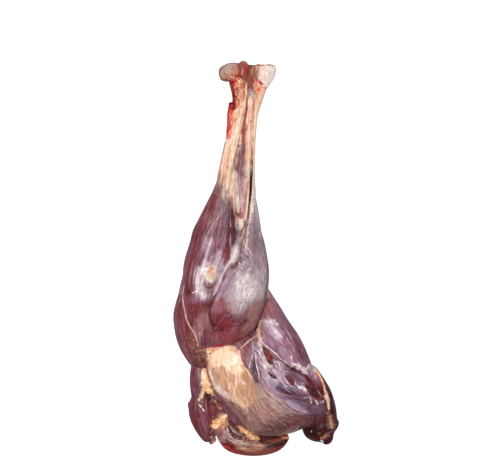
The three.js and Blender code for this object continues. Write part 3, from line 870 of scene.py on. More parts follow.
# Painted shade: a dark band, line and hollow along the crease round the calf's bulge; crease light lays a
# lighter line in it
CREASE_TOUCHES = {
    "crease shadow band": smear(
        "low red", 0.75, (218, 290, 0.8), (213.8, 299, 2), (210.6, 308, 2.4), (210.6, 318, 2.4),
        (214, 326, 2.2), deep=True),
    "deep crease": touch(
        "deep crease", 0.95, (217.6, 291, 0.6), (212.8, 301, 1.5), (210, 309, 1.8), (209.8, 315, 1.6),
        (211, 320, 1.7), (213.8, 325, 1.8), (219, 328, 0.9), soft=0.9, patchy=0.2, lift=-1.4, deep=True),
    "crease tail": smear("red brown", 0.6, (216, 326.6, 1.6), (224, 328.8, 1.9), (231, 327.2, 1), lift=-0.6),
    "crease light": touch("mauve", 0.6, (217, 299.6, 0.6), (213.4, 306.6, 0.9), (211.6, 313, 0.7), lift=0.4),
    "low hollow": smear(
        "deep crease", 0.7, (210.6, 320, 1.6), (212.6, 326.4, 2.8), (217, 330, 2.4), (223, 330.4, 1.2)),
}
OUTER_TOUCHES = {
    # Painted rim highlight along the outer muscle's left outline
    "outer rim": smear(
        "rim grey", 0.5, (181, 288, 1), (176.4, 304, 1.2), (174.6, 318, 1.2), (177.6, 336, 1.1)),
    "outer red": area("red brown", 0.45, 3, (180, 306), (184, 316), (188, 328), (184, 334), (178, 322)),
    "nerve": touch(
        "cream pink", 0.75, (184, 285, 0.3), (183, 298, 0.55), (184.5, 312, 0.7), (187.7, 322.6, 0.75),
        (192, 330, 0.8), (195.8, 337, 0.9), (198.4, 346, 1), soft=0.9, ragged=0.1, patchy=0.2, lift=0.7),
    "rough patch": area(
        "brown", 0.9, 1.5, (185, 334), (192, 336), (197, 345), (206, 352), (207, 362), (199, 366),
        (192, 358), (187, 346), ragged=2.4, patchy=0.5, lift=0.4),
    "rough dark": touch(
        "dark brown", 0.7, (194, 348, 1.6), (199, 356, 2.6), (204, 361, 2), ragged=0.9, patchy=0.7),
    "rough red": touch("red brown", 0.6, (190, 340, 2), (193, 352, 2), ragged=0.9, patchy=0.7),
    "curl 1": touch(
        "pink tan", 0.75, (188.6, 343.6, 0.4), (191, 346.6, 0.5), (194.6, 348.6, 0.8), lift=0.4,
        ragged=0.6),
    "curl 2": touch("fascia brown", 0.6, (191.6, 337.6, 0.4), (188.8, 341, 0.6), lift=0.4, ragged=0.6),
    "curl 3": touch("fascia tan", 0.85, (197, 351.6, 0.6), (200, 350, 0.7), (203.6, 350.4, 0.5), lift=0.4),
    "curl 4": touch(
        "pink tan", 0.55, (194, 356.6, 0.4), (198, 356.6, 0.6), (201.4, 359, 0.4), lift=0.4, ragged=0.6),
    "curl 5": touch("tan grey", 0.6, (200, 354, 1), (206, 357, 1.4), ragged=0.8),
}
KNEE_TOUCHES = {
    "sheet": area(
        "fascia light", 0.85, 2.6, (208, 350), (226, 345), (239, 349), (241, 362), (247, 370), (252, 379),
        (253, 392), (252, 404), (243, 408), (233, 402), (222, 396), (215, 388), (211, 376), streaky=0.15,
        patchy=0.1),
    "cream sheet": area(
        "fascia cream", 0.95, 3, (206, 350), (214, 348), (227, 346.4), (238.6, 350), (240.4, 361),
        (241, 372), (234, 374), (226, 367), (217, 367), (210, 366), streaky=0.3, patchy=0.05),
    "orange glow left": smear("orange flesh", 0.8, (203, 350, 0.8), (213, 350.6, 1.3), (220, 349.4, 0.8)),
    "orange glow right": smear("orange flesh", 0.9, (229, 349.4, 0.9), (235, 351, 1.4), (239, 353.6, 1.6)),
    "sheet orange": area(
        "fascia brown", 0.65, 2, (217.6, 367), (224, 367), (228.6, 374), (227, 384), (221.6, 383),
        (218, 376)),
    "sheet pink": area("fascia tan", 0.6, 2, (226, 376), (233, 374), (234, 392), (229, 397), (225, 388)),
    "sheet grey": area("tan grey", 0.45, 1.6, (221, 383), (226, 384), (228, 396), (223, 392)),
    "sheet cream left": smear("fascia cream", 0.7, (235.6, 366, 1.2), (236, 380, 1.4), (234.6, 394, 1.2)),
    "sheet cream right": smear("cream", 0.7, (239.6, 368, 1), (239, 382, 1.2)),
    "sheet brown": area(
        "fascia brown", 0.8, 1.4, (243, 371), (247.6, 372), (250.4, 380), (248, 386), (244, 382)),
    "sheet low": smear("fascia cream", 0.45, (240, 402, 2), (246, 406, 2.2), (250, 402, 1.6)),
    "sheet film": area(
        "bone grey", 0.85, 1, (211.4, 377), (216, 382), (221, 388), (230, 396), (236, 401.6), (230, 400),
        (220, 394.6), (214, 387)),
    "sheet hollow": area("mauve", 0.75, 1, (211.6, 367), (214.8, 368), (215.2, 376), (212.6, 375)),
    "sheet glint": touch("white film", 0.9, (209.4, 370.6, 0.4), (210.8, 375, 0.6), (212.5, 378.6, 1)),
    "sheet right rim": touch(
        "cream pink", 0.9, (239.4, 351, 0.6), (240.4, 359, 0.8), (243, 364.6, 0.8), (248, 371.6, 0.8),
        (251.4, 378.4, 0.6), lift=0.4),
    "sheet low right": area(
        "fascia brown", 0.55, 3, (241, 381), (252, 380), (254, 396), (252, 406), (244, 404), (239, 394),
        streaky=0.4),
    "sheet left grey": area("tan grey", 0.6, 2, (213, 371), (219, 372), (221, 384), (217, 386), (213, 380)),
    "red streak 1": touch("rust", 0.55, (247.7, 385, 0.4), (247.9, 396, 0.5)),
    "red streak 2": touch("rust", 0.6, (251.5, 383, 0.4), (251.7, 397, 0.5)),
    "red streak 3": touch("fascia brown", 0.6, (243.6, 384, 0.5), (244.6, 396, 0.5)),
}
FAN_TOUCHES = {
    "rear ground": area(
        "mauve", 0.95, 3, (255, 280), (268, 278), (286, 302), (302, 328), (314, 352), (322, 372),
        (318, 392), (304, 380), (288, 360), (272, 346), (258, 342), (252, 316), patchy=0),
    # Painted highlight: a warm glow and a pale light across the fan muscle
    "fan glow": area(
        "fascia tan", 0.3, 4, (252, 388), (258, 390), (268, 404), (278, 416), (268, 420), (256, 416),
        (248, 410), streaky=0.2),
    "fan light": area(
        "pink grey", 0.35, 2.5, (257, 388), (264, 392), (280, 404), (292, 413), (282, 414), (268, 404)),
    "triangle": area(
        "purple brown", 0.9, 1.2, (215.6, 390), (222, 396), (233, 402.6), (242, 409), (247, 420),
        (252, 430), (250, 434), (238, 424), (226, 412), (218, 400)),
    "triangle deep": smear("purple", 0.7, (218.6, 396, 1), (226, 406.6, 2), (238, 420, 2.4), (248, 430, 1.6)),
    "triangle sheen": smear("mauve", 0.5, (219.6, 394.4, 1), (229, 403, 1.6)),
    "fan dark line": touch("deep maroon", 0.8, (249.4, 410, 0.4), (245.8, 419, 0.5), lift=-0.5),
    "fan low left": area(
        "purple brown", 0.5, 5, (248, 408), (262, 411), (276, 413), (281, 424), (262, 431), (250, 428)),
    "fan purple": area(
        "purple", 0.5, 4, (258, 424), (276, 420), (296, 414), (310, 414), (306, 424), (284, 432),
        (262, 434)),
    "fan dusk": area(
        "deep maroon", 0.7, 3, (252, 432), (268, 428), (288, 422), (308, 416), (324, 412), (318, 424),
        (296, 428), (276, 437), (260, 438)),
    "fan wine": area("wine", 0.5, 3, (284, 416), (300, 415), (312, 418), (304, 424), (288, 425)),
    "band": area(
        "lilac", 0.8, 1.6, (260, 378), (266, 382), (274, 389), (283, 397), (294, 403), (306, 410),
        (310, 414), (298, 413), (286, 406), (273, 396), (262, 386)),
    "band white": smear("pale lilac", 0.8, (286, 402, 1), (295, 407.6, 2), (305, 411.6, 1.4)),
    "band purple": smear("plum", 0.5, (264, 379, 1), (274, 387, 1.6), (281, 393, 1.2)),
    "band dark": area(
        "purple", 0.85, 2, (276, 385), (286, 389), (298, 391), (308, 396), (313, 403), (310, 409),
        (300, 404), (288, 398), (279, 391)),
    "band slate": area("slate", 0.55, 1.2, (281, 384), (290, 386), (299, 389), (296, 392), (286, 390)),
    "band deep": smear("deep maroon", 0.6, (283, 392, 1.2), (294, 396.6, 2), (306, 402, 2)),
    "band end": area("dusk", 0.5, 3, (306, 405), (314, 402), (325, 407), (322, 416), (312, 416)),
    "fan line": touch(
        "fascia light", 0.75, (260, 385.6, 0.6), (268, 391.8, 0.8), (277.5, 399.2, 0.9), (287, 407, 0.9),
        (294, 412.2, 0.9), (300, 413.8, 0.7), (307, 413, 0.4), lift=0.6),
    "knee triangle": area(
        "rose brown", 0.95, 1.2, (241, 350), (251, 344), (250, 358), (248, 369), (243, 364)),
    "knee triangle purple": area(
        "plum", 0.8, 1.4, (251, 362), (256, 362), (259.6, 376), (259, 384), (253, 379)),
    "knee strip": area(
        "grey lilac", 0.85, 1.2, (250.6, 344), (255, 340), (257.6, 350), (254, 362), (249.4, 369),
        (247, 366)),
    "knee strip white": touch(
        "pale lilac", 0.9, (252.6, 341, 0.6), (252.8, 350, 0.9), (250.6, 362, 0.8), (249, 368, 0.5)),
    "knee strip thread": touch(
        "white film", 0.85, (255, 352, 0.4), (256.6, 364, 0.5), (258.6, 373, 0.6), (259.4, 379, 0.7)),
    "film": area(
        "blue lilac", 0.6, 2.5, (262, 354), (276, 357), (286, 365), (296, 374), (306, 382), (300, 390),
        (284, 388), (268, 381), (260, 374), patchy=0.5),
    "film mauve": area("mauve", 0.4, 2, (274, 358), (284, 364), (288, 372), (280, 376), (274, 368)),
    "film by the trunk": area(
        "lilac", 0.65, 2, (255, 343), (262, 345), (265, 356), (268, 366), (262, 373), (257, 364)),
    "film middle": area(
        "pale lilac", 0.6, 2, (265, 366), (274, 367), (281, 376), (279, 385), (270, 384), (264, 377),
        ragged=1.8),
    "film shade": area(
        "dusk", 0.6, 2, (280, 358), (288, 364), (300, 376), (304, 382), (296, 383), (287, 371)),
    "film white": area(
        "pale lilac", 0.45, 2.4, (277, 363), (283, 364), (285, 374), (287, 382), (281, 384), (278, 376),
        ragged=1.6, streaky=0.5),
    "film patch": area(
        "white film", 0.7, 1, (296, 384), (302, 385), (307, 390), (304, 392), (298, 388), ragged=2.2),
    "film left": area(
        "bone grey", 0.45, 2, (262.4, 371), (268, 371), (271, 377), (268, 381), (263, 378), ragged=1.8,
        streaky=0.3),
    "fascia trunk": area(
        "bone grey", 0.9, 0.8, (256, 329), (260, 332), (261.4, 342), (264, 352), (268, 361), (271, 367),
        (267.6, 366), (263.6, 359), (260, 348), (257.4, 338)),
    "fascia seam": touch(
        "white film", 0.72, (260.6, 340, 0.7), (266.8, 347, 0.9), (274.6, 352.4, 0.9), (281, 359, 0.7),
        (288.6, 365.6, 0.5), lift=0.6),
    "fascia seam grey": smear("pale lilac", 0.55, (262, 342, 1), (271, 349, 1.2), (279, 354.6, 0.8)),
}
REAR_TOUCHES = {
    "rear shade": area(
        "dusk", 0.6, 4, (277, 304), (284, 312), (296, 332), (306, 354), (311, 366), (302, 366), (294, 350),
        (286, 334), (278, 318), streaky=0.2),
    "rear film": area(
        "lilac", 0.8, 2.5, (262, 320), (274, 320), (283, 332), (280, 342), (272, 346), (264, 338),
        streaky=0.2),
    "rear top": area(
        "white film", 0.6, 1.2, (261.6, 321), (269, 319.6), (277, 322.6), (276, 325.6), (267, 324.6),
        ragged=2.2, streaky=0.3),
    # Silverskin patches with the sheen of the wet rear muscle painted into them: painted highlight
    "rear silver sheen": area(
        "silver", 0.6, 2.4, (264, 325), (273, 326), (282, 336), (277, 340), (268, 333), streaky=0.5),
    "rear mauve": area("mauve", 0.75, 1.8, (265, 332), (272, 336), (275, 344), (270, 348), (265, 341)),
    "rear dusk": area("dusk", 0.5, 1.8, (276, 338), (282, 344), (290, 350), (286, 352), (279, 346)),
    "rear sheen patch": area(
        "pale lilac", 0.6, 2, (279, 348), (284, 348), (289, 354), (293, 362), (288, 364), (283, 358),
        ragged=1.6, streaky=0.4),
    "rear glint": touch("white film", 0.9, (291.2, 355.8, 0.6), (291.6, 358.6, 0.8)),
    "rear light line": touch("pale lilac", 0.65, (284, 326, 0.4), (291, 338, 0.7), (295.6, 347, 0.5)),
    # Painted shade over the right half of the rear muscle
    "rear right": area(
        "maroon", 0.55, 3, (290, 330), (298, 338), (307, 356), (310, 366), (302, 362), (295, 348)),
    "rear root": area(
        "rose brown", 0.8, 1.8, (266, 296), (271, 298), (276, 310), (272, 318), (264, 318), (262, 310)),
    "rear root pink": area(
        "pink tan", 0.5, 1.8, (262, 294), (270, 294), (275, 303), (274, 318), (268, 318), (268, 306),
        (262, 305), streaky=0.3),
    "rear pale side": area(
        "rose grey", 0.7, 1.6, (259.4, 321), (265, 320), (266, 333), (264, 346), (260.8, 344), (260, 332),
        streaky=0.2),
    "cream triangle": touch("fascia cream", 0.9, (268.4, 290.6, 0.4), (269, 297.6, 1.2), soft=0.95),
    "cream between": area(
        "fascia cream", 0.9, 0.8, (256, 319), (259, 320), (260, 330), (260.6, 341), (258, 338), (256, 329)),
    "orange between": smear("pink orange", 0.65, (257.8, 331, 0.8), (258.8, 337, 0.9)),
    "dark between": touch("deep crease", 0.9, (255, 328, 0.5), (258.6, 339.6, 0.5), lift=-0.5),
    "cream by the calf": smear("cream pink", 0.75, (240.6, 347.6, 0.6), (247, 342.6, 0.9), (254.4, 337, 1.2)),
    "edge pale": area(
        "pink grey", 0.7, 1.4, (308, 365), (314, 366), (317.6, 373), (315, 379), (311, 375), ragged=1.4),
    "edge red": touch("bright blood", 0.75, (315, 369, 0.9), (319.4, 377.4, 1.4), ragged=0.7),
    "edge fat": touch(
        "fat", 0.95, (314, 367.6, 0.7), (320.4, 376, 1.1), (324, 385, 1.3), (325.4, 391.6, 1.2),
        ragged=0.5),
    "edge cream": touch(
        "cream pink", 0.95, (324.6, 389, 1), (327.4, 398, 2), (329, 404, 1.5), (328.5, 410, 0.6),
        ragged=0.5),
    "edge pink": touch("pink orange", 0.6, (320, 376, 0.6), (324, 386, 0.7), ragged=0.6),
    "edge brown": area(
        "dark brown", 0.6, 1.6, (324, 379), (330, 390), (333, 404), (334, 416), (330, 414), (331, 402),
        (327, 390)),
    "edge dot": touch("black red", 0.7, (328.4, 411.4, 1), (328, 415, 1.4), ragged=0.6),
    "edge low": area(
        "fascia tan", 0.6, 1.6, (328, 414), (330.4, 415), (334, 423), (333.6, 429.6), (329, 429.6),
        (327.4, 422), ragged=2.2, patchy=0.6),
    "edge low light": touch(
        "cream pink", 0.65, (329, 417, 0.6), (330.4, 423, 1), (331.8, 428, 0.7), ragged=0.8),
    "edge low red": touch("rust brown", 0.6, (331.8, 418, 0.7), (333, 426, 0.9), ragged=0.7),
    "knob sheen": smear("mauve", 0.5, (326, 433.6, 1.1), (333, 431.4, 1.4), ragged=0.6),
    # Painted rim highlight along the thigh's and rear lobe's right outline
    "outer grey": smear(
        "rim grey", 0.25, (323, 377, 1), (329.6, 388, 1.3), (333.6, 400, 1.5), (336, 412, 1.2)),
    "lobe rim": smear("rim grey", 0.25, (337, 415, 0.8), (337.4, 428, 0.9)),
    # Painted shadow on the rear lobe, and lobe white spot below is a painted highlight
    "lobe black": area(
        "black red", 0.8, 1.8, (298, 427), (309, 426), (320, 430), (319, 436), (308, 436), (300, 433)),
    "lobe red": area("dark brown", 0.6, 2.5, (314, 424), (325, 422), (326, 430), (319, 436), (313, 432)),
    "lobe white spot": touch("pink grey", 0.9, (311.4, 431.8, 1)),
    "knob tan": smear("fascia tan", 0.55, (320.4, 438, 1), (324, 437.6, 1.3), (329, 435.6, 1), ragged=0.9),
    "knob red": touch("bright blood", 0.6, (320, 438, 0.6), (324, 439, 0.7)),
    "knob glint": touch("white film", 0.9, (321.2, 440, 0.7), (323.4, 441.6, 0.6), patchy=0),
    "knob dark": smear("black red", 0.75, (325, 442, 1.8), (329, 440, 1.8)),
}
WINDOWS = {
    "window 1": area(
        "meat window", 1, 0.6, (263, 347), (267.4, 347.6), (271.4, 352.6), (274.2, 358), (273, 364),
        (269.4, 363.4), (265.6, 357), ragged=0.5, lift=-1.6),
    "window 1 red": touch("rust", 0.55, (267, 351, 1), (270.4, 358, 1.6), ragged=0.7),
    "window 1 rim": touch(
        "pale lilac", 0.7, (264.6, 358, 0.5), (268.6, 365, 0.7), (273.6, 365.4, 0.5), lift=0.4),
    "window 2": area(
        "dark brown", 1, 0.5, (268, 371.6), (272.4, 374), (277, 376.8), (275.4, 379.2), (271, 377),
        ragged=0.4, lift=-1.2),
    "window 3": area(
        "meat window", 1, 0.6, (285, 374.6), (289.4, 374.4), (293.6, 379.4), (295, 384.6), (292, 385.6),
        (287, 380.4), ragged=0.5, lift=-1.6),
    "window 3 dark": touch("dark brown", 0.7, (287, 376.6, 1), (290, 379.6, 1)),
    "window 3 rim": touch(
        "white film", 0.6, (284.6, 378, 0.4), (288.4, 384, 0.5), (293, 387.4, 0.4), lift=0.4),
    "brown over window 4": area(
        "red brown", 0.9, 1.8, (305, 377), (312, 379), (320, 385), (323, 391), (314, 386), (307, 383)),
    "window 4": area(
        "meat window", 1, 0.8, (305, 384.4), (311, 383), (318, 387), (323.6, 393), (322.4, 399.6),
        (317.6, 400), (311, 396), (307, 390), ragged=0.6, lift=-1.4),
    "window 4 dark": area("dark brown", 0.6, 1.6, (306, 386), (312, 386), (318, 393), (316, 398), (310, 393)),
    "fleck 1": touch("pale fat", 1, (309.8, 397.4, 0.7), (310.8, 403, 1.3), lift=0.8),
    # Painted glint: fleck 2 is a small wet highlight
    "fleck 2": touch("white film", 0.9, (316, 400.6, 0.6), (317.8, 404.4, 0.9), lift=0.6),
    "fleck 3": touch("pearl", 0.7, (304, 398, 1), (308, 396.6, 0.8)),
    "fleck shade": touch("black red", 0.9, (313.8, 401, 0.7), (314.4, 404, 1.1)),
    "fleck lilac": touch("lilac", 0.7, (320, 403, 1.2), (324, 401, 0.9)),
    "groove": touch(
        "deep crease", 0.95, (280.6, 359.6, 0.6), (288, 366, 1.2), (296, 371, 1.9), (304, 375, 2),
        (310, 380.4, 1.7), (314.6, 386.4, 0.8), lift=-1.6),
    "groove brown": touch("dark brown", 0.7, (294, 370, 0.9), (304, 374.6, 1.2), (310, 379.6, 0.9)),
    "white fascia": area(
        "white film", 0.75, 1.4, (292.6, 364.6), (298, 362.6), (303, 365), (307.6, 369.4), (305, 372),
        (299, 369), ragged=2.6, patchy=0.6),
    "white fascia tan": touch("fascia light", 0.5, (296, 366.4, 0.7), (302, 368.6, 0.8), ragged=0.6),
    "slate spot 1": smear("slate", 0.8, (310.4, 367, 0.7), (311, 371.6, 1.1)),
    "slate spot 2": smear("slate", 0.8, (313.6, 377.6, 1.2)),
}
HIP_TOUCHES = {
    "edge purple": area("purple", 0.6, 1.8, (196, 372), (200.6, 374), (200, 388), (198, 400), (195, 398)),
    "edge red": area("red brown", 0.5, 2, (191.6, 370), (196, 370), (195, 386), (192, 388)),
    "fat cream": area(
        "pale fat", 0.85, 1.5, (203, 368), (207, 370), (209, 378), (206, 386), (201.6, 386), (200.6, 378),
        ragged=1.6),
    "fat yellow": area(
        "fat", 0.85, 1.5, (205, 378), (210, 382), (215, 390), (214, 394), (208, 391), (203, 390),
        ragged=1.6),
    "fat shade": touch("orange fat", 0.8, (206, 384, 0.8), (210, 388.6, 0.9), ragged=0.7),
    "fat white": touch("white film", 0.6, (203, 372, 0.8), (204.6, 379, 0.9), ragged=0.7),
    "slate in the fat": smear("slate", 0.8, (207.6, 393.6, 1.4)),
    "hollow": area(
        "meat window", 0.75, 1.4, (209, 396), (214, 396), (217, 403), (223, 411), (222, 416), (214, 418),
        (210, 408), lift=-2),
    "hollow red": touch("rust", 0.7, (211.6, 397, 1.2), (213, 408, 1.6), ragged=0.8),
    "crumbs": touch(
        "fascia tan", 0.9, (214.6, 401, 0.5), (216.4, 405, 0.8), (219.6, 409, 0.7), ragged=0.9, patchy=0.9),
    "lobe sheen": area(
        "mauve", 0.25, 2.4, (199, 408), (205, 409), (208, 420), (206, 432), (201, 430), (199, 420),
        streaky=0.5),
    "lobe red": area(
        "red brown", 0.75, 2, (190, 412), (196, 416), (199, 430), (204, 438), (198, 436), (192, 424)),
    "lobe glint": touch(
        "white film", 0.9, (198.6, 403.8, 0.4), (200.4, 406.4, 0.8), (201.4, 407.4, 0.5), patchy=0),
    "lobe glint low": touch("white film", 0.85, (202.8, 408.8, 0.5), (203.8, 411, 0.7), patchy=0),
    "lobe shade": area(
        "rose brown", 0.55, 1.6, (204, 397), (211, 396), (213, 416), (212, 430), (207, 432), (206, 414)),
    "lobe tip": area("brown", 0.7, 1.4, (204, 432), (212, 431), (214, 438), (208, 440), ragged=1.6),
    "hip fat": area(
        "orange fat", 0.85, 1.5, (221, 413.6), (226, 415), (227.6, 422), (224, 427.6), (216, 430),
        (211.6, 427), (214, 422), (218.6, 419), ragged=1.8),
    "hip fat cream": touch(
        "pale fat", 0.9, (222, 417, 1.2), (218, 423.6, 1.6), (214, 427, 1.4), ragged=0.8, patchy=0.6),
    "hip fat shade": touch("rust", 0.6, (219.6, 421, 0.6), (223.6, 423, 0.7), (221, 426.6, 0.6), ragged=0.8),
    "hip glint": touch(
        "white film", 1, (225, 414, 0.4), (227.8, 417.4, 0.9), (230, 420, 0.5), patchy=0, ragged=0.1),
    "dark under the glint": touch("rose brown", 0.8, (228.6, 422, 1.2), (233, 425, 1.6), (239, 429.6, 1)),
    "hip window": area(
        "meat window", 1, 0.8, (228.6, 427), (234, 428), (240, 431), (246.6, 437), (241, 437.4), (233, 435),
        lift=-1),
    "film arc": touch(
        "pink grey", 0.9, (226.8, 428, 0.7), (228.8, 434, 1), (234, 439.6, 1.3), (242, 442, 1), lift=0.4),
    "flap fat": touch(
        "orange fat", 0.8, (239, 426.4, 0.5), (244, 430.6, 1), (250, 435.6, 1.7), (256, 438.6, 2),
        (259.8, 439.6, 0.9), ragged=0.8),
    "flap fat cream": touch(
        "pale fat", 0.9, (243, 430, 0.5), (249, 434.6, 1), (254, 438, 1), ragged=0.8, patchy=0.6),
    "hip tissue": area(
        "rose", 0.8, 1.5, (213, 430), (222, 429), (229, 434), (227, 440), (218, 438), ragged=1.8),
    "hip tissue pale": area(
        "rose grey", 0.75, 1.2, (211, 436), (220, 437), (225, 431), (229.6, 435), (226, 441.6), (213, 442),
        ragged=2),
    "flap film": area(
        "fascia tan", 0.7, 1.4, (230, 441), (244, 441.6), (258, 441), (264, 442), (262, 449), (248, 452),
        (238, 447), streaky=0.3),
    "flap pale": smear(
        "bone grey", 0.65, (229, 439.6, 1.2), (236, 442.6, 1.4), (246, 444.6, 1.3), (256, 445, 1),
        ragged=0.6),
    "flap cut": area(
        "blood", 0.9, 0.8, (221, 442), (226, 442.6), (234, 445.6), (241, 450), (250, 455), (240, 455),
        (228, 450.6)),
    "flap cut dark": touch(
        "deep crease", 0.75, (226, 444.4, 0.8), (232, 446.6, 1.4), (238, 450.6, 1), ragged=0.6),
    "flap cut red": touch(
        "bright blood", 0.7, (224, 446, 0.8), (231, 449.6, 1), (238, 453.4, 0.7), ragged=0.7),
    "flap dark": area(
        "dark brown", 0.95, 1.4, (260, 439), (266, 442), (278, 441.6), (288, 439), (284, 447), (275, 450),
        (267, 450), (263, 445)),
    "flap black": smear(
        "black red", 0.75, (259, 440.4, 0.9), (267, 446, 1.3), (275, 446.6, 1.7), (282, 444.4, 1.1)),
    "flap corner": touch(
        "pink orange", 0.85, (278.6, 435.6, 1.2), (283, 436.4, 1.6), (286.6, 438, 1), ragged=0.8),
    "flap low": area(
        "rust brown", 0.55, 1.4, (236, 449), (250, 451), (262, 450), (276, 448), (270, 453), (254, 456),
        (242, 455)),
    "flap rim": touch("rust", 0.8, (246, 455, 0.9), (258, 454.8, 0.9), (270, 451, 0.9), (282, 446, 0.9)),
}

# Fine threads of film strewn by rule: paint, rows of (x, y, spread) along their trail in photograph pixels,
# bearing in degrees from right to down, its spread, length in pixels, count and strength
THREADS = {
    "net": ("white film", [(260, 350, 4), (267, 364, 6), (276, 374, 7), (286, 384, 5)], 52, 24, 8, 46, 0.5),
    "cross net": ("pale lilac", [(262, 358, 4), (274, 372, 6), (288, 384, 5)], -20, 25, 6, 24, 0.45),
    "rear": ("pale lilac", [(268, 324, 4), (278, 340, 6), (292, 356, 6)], 56, 8, 10, 36, 0.4),
    "rear dark": ("dusk", [(272, 312, 4), (284, 334, 8), (300, 358, 6)], 58, 8, 12, 30, 0.4),
    "shin": ("pale lilac", [(224, 206, 3), (214, 228, 6), (206, 252, 8)], 114, 7, 13, 46, 0.3),
    "shin dark": ("deep maroon", [(220, 210, 4), (208, 232, 8), (198, 262, 8)], 112, 7, 14, 46, 0.4),
    "sheet": ("fascia cream", [(222, 366, 6), (230, 382, 7), (242, 400, 5)], 76, 10, 9, 30, 0.4),
    "sheet dark": ("fascia brown", [(224, 370, 5), (236, 384, 8), (246, 398, 4)], 78, 10, 9, 34, 0.4),
    "face": ("white film", [(238, 280, 5), (246, 292, 7), (254, 298, 5)], 100, 14, 8, 30, 0.3),
    "face dark": ("rim grey", [(244, 262, 4), (252, 280, 8), (256, 300, 5)], 98, 14, 8, 34, 0.3),
    "low": ("deep maroon", [(218, 310, 5), (230, 322, 9), (246, 326, 7)], 150, 16, 9, 40, 0.45),
    "low light": ("mauve", [(218, 308, 4), (232, 320, 9), (246, 330, 6)], 150, 16, 9, 34, 0.35),
    "lobe": ("mauve", [(200, 408, 4), (203, 420, 5), (204, 434, 3)], 84, 10, 9, 26, 0.25),
    "fan tail": ("deep maroon", [(270, 424, 6), (290, 418, 7), (312, 412, 5)], -14, 9, 12, 36, 0.4),
    "torn": ("blood", [(236, 79, 3), (238, 88, 4), (238, 99, 3.5)], 75, 40, 6, 30, 0.7),
    "torn red": ("red edge", [(230, 76.6, 2.5), (234, 81, 3), (236, 92, 3.5)], 60, 50, 4.5, 26, 0.75),
    "torn light": ("fascia cream", [(236, 80, 3), (240, 89, 4), (240, 101, 3)], 80, 35, 6, 26, 0.6),
    "torn rust": ("rust", [(240, 68, 3), (244, 78, 3), (242, 94, 4)], 80, 40, 5, 26, 0.6),
    "tissue": ("blood", [(230, 111, 2), (230, 121, 2), (228.6, 133, 2)], 96, 25, 7, 18, 0.6),
    "tissue light": ("pink orange", [(231, 113, 2), (231, 123, 2), (229, 134, 2)], 96, 25, 7, 18, 0.6),
    "tendon": (
        "fascia brown", [(241, 108, 2.5), (236, 132, 3.5), (230, 160, 3.5), (226, 182, 3)], 103, 5, 13, 40,
        0.3),
    "tendon light": ("white film", [(240, 114, 2), (234, 140, 3.5), (228, 172, 3.5)], 102, 5, 12, 26, 0.4),
    "centre": (
        "fascia tan", [(251, 104, 2), (250, 130, 2), (248, 166, 2), (247, 196, 1)], 95, 4, 10, 30, 0.45),
    "strip": ("deep maroon", [(241, 146, 2), (239, 168, 2.5), (240, 192, 2.5)], 94, 7, 10, 26, 0.4),
    "rough": ("fascia brown", [(189, 338, 3), (194, 347, 3.4), (202, 357, 4)], 60, 60, 3, 46, 0.55),
    "rough dark": ("dark brown", [(189, 339, 3), (195, 348, 3.4), (202, 358, 4)], 60, 60, 3, 46, 0.6),
    "ash": ("bone grey", [(224, 188, 3), (227, 197, 3), (227, 207, 3)], 97, 6, 14, 26, 0.5),
    "ash dark": ("dusk", [(220, 186, 2), (224, 197, 3.5), (226, 208, 3)], 98, 6, 13, 28, 0.5),
    "groove": ("rust", [(251.6, 68, 1.6), (254.6, 76, 2.4), (253, 86, 2)], 88, 12, 8, 26, 0.6),
    "groove light": ("fascia light", [(252, 68, 2), (255, 76, 2.4), (254, 87, 2)], 88, 12, 7, 16, 0.5),
    "condyle": ("cartilage rim", [(223, 70, 3), (229, 70, 4), (236, 69, 3)], 20, 60, 5, 26, 0.4),
    "condyle pink": ("bone pink", [(263, 68, 3), (267, 76, 5), (265, 84, 3)], 70, 40, 5, 16, 0.5),
    "wrinkle": (
        "white film", [(248, 250, 2), (244, 258, 2.5), (240, 267, 2.5), (237, 275, 2)], 54, 18, 7, 18,
        0.34),
    "wrinkle dark": ("dusk", [(247, 251, 2), (243, 260, 2.5), (240, 269, 2.5)], 54, 18, 7, 20, 0.4),
    "flap": ("fascia light", [(232, 444, 2), (246, 446, 3), (264, 446, 3)], 4, 12, 9, 22, 0.45),
    "flap dark": ("dark brown", [(240, 449, 3), (258, 447, 4), (278, 443, 3)], -4, 12, 9, 26, 0.5),
    "window": ("bone grey", [(230, 429, 2), (237, 432, 2.5), (243, 435, 2)], 55, 8, 6, 9, 0.6),
}

# Chances of a thread: the first trail's seed, scatter off the trail, half length, bend, half width and
# taper to its ends, and strength
THREAD_SEED = 50
THREAD_SCATTER = 0.7
THREAD_HALVES = (0.3, 0.7)
THREAD_BEND = (-0.15, 0.15)
THREAD_HALF_WIDTHS = (0.35, 0.75)
THREAD_TAPER = (0.6, 0.5)
THREAD_STRENGTHS = (0.5, 1.4)

# Rays of the fan muscle: where they spread from, their first and last bearing, how far out they start and
# end, and the chances of each
FAN_CENTRE = (247, 378)
FAN_BEARINGS = (30, 98)
FAN_REACH = (16, 58)
FAN_RAYS = 46
FAN_PAINTS = ("fascia light", "bone grey", "fascia brown", "purple brown", "deep maroon")
FAN_SEED = 40
FAN_STRAY = 1.5
FAN_STARTS = (0.9, 2)
FAN_ENDS = (0.7, 1.1)
FAN_CURL = 9
FAN_HALF_WIDTHS = (0.4, 0.8, 0.5)
FAN_STRENGTHS = (0.14, 0.34)


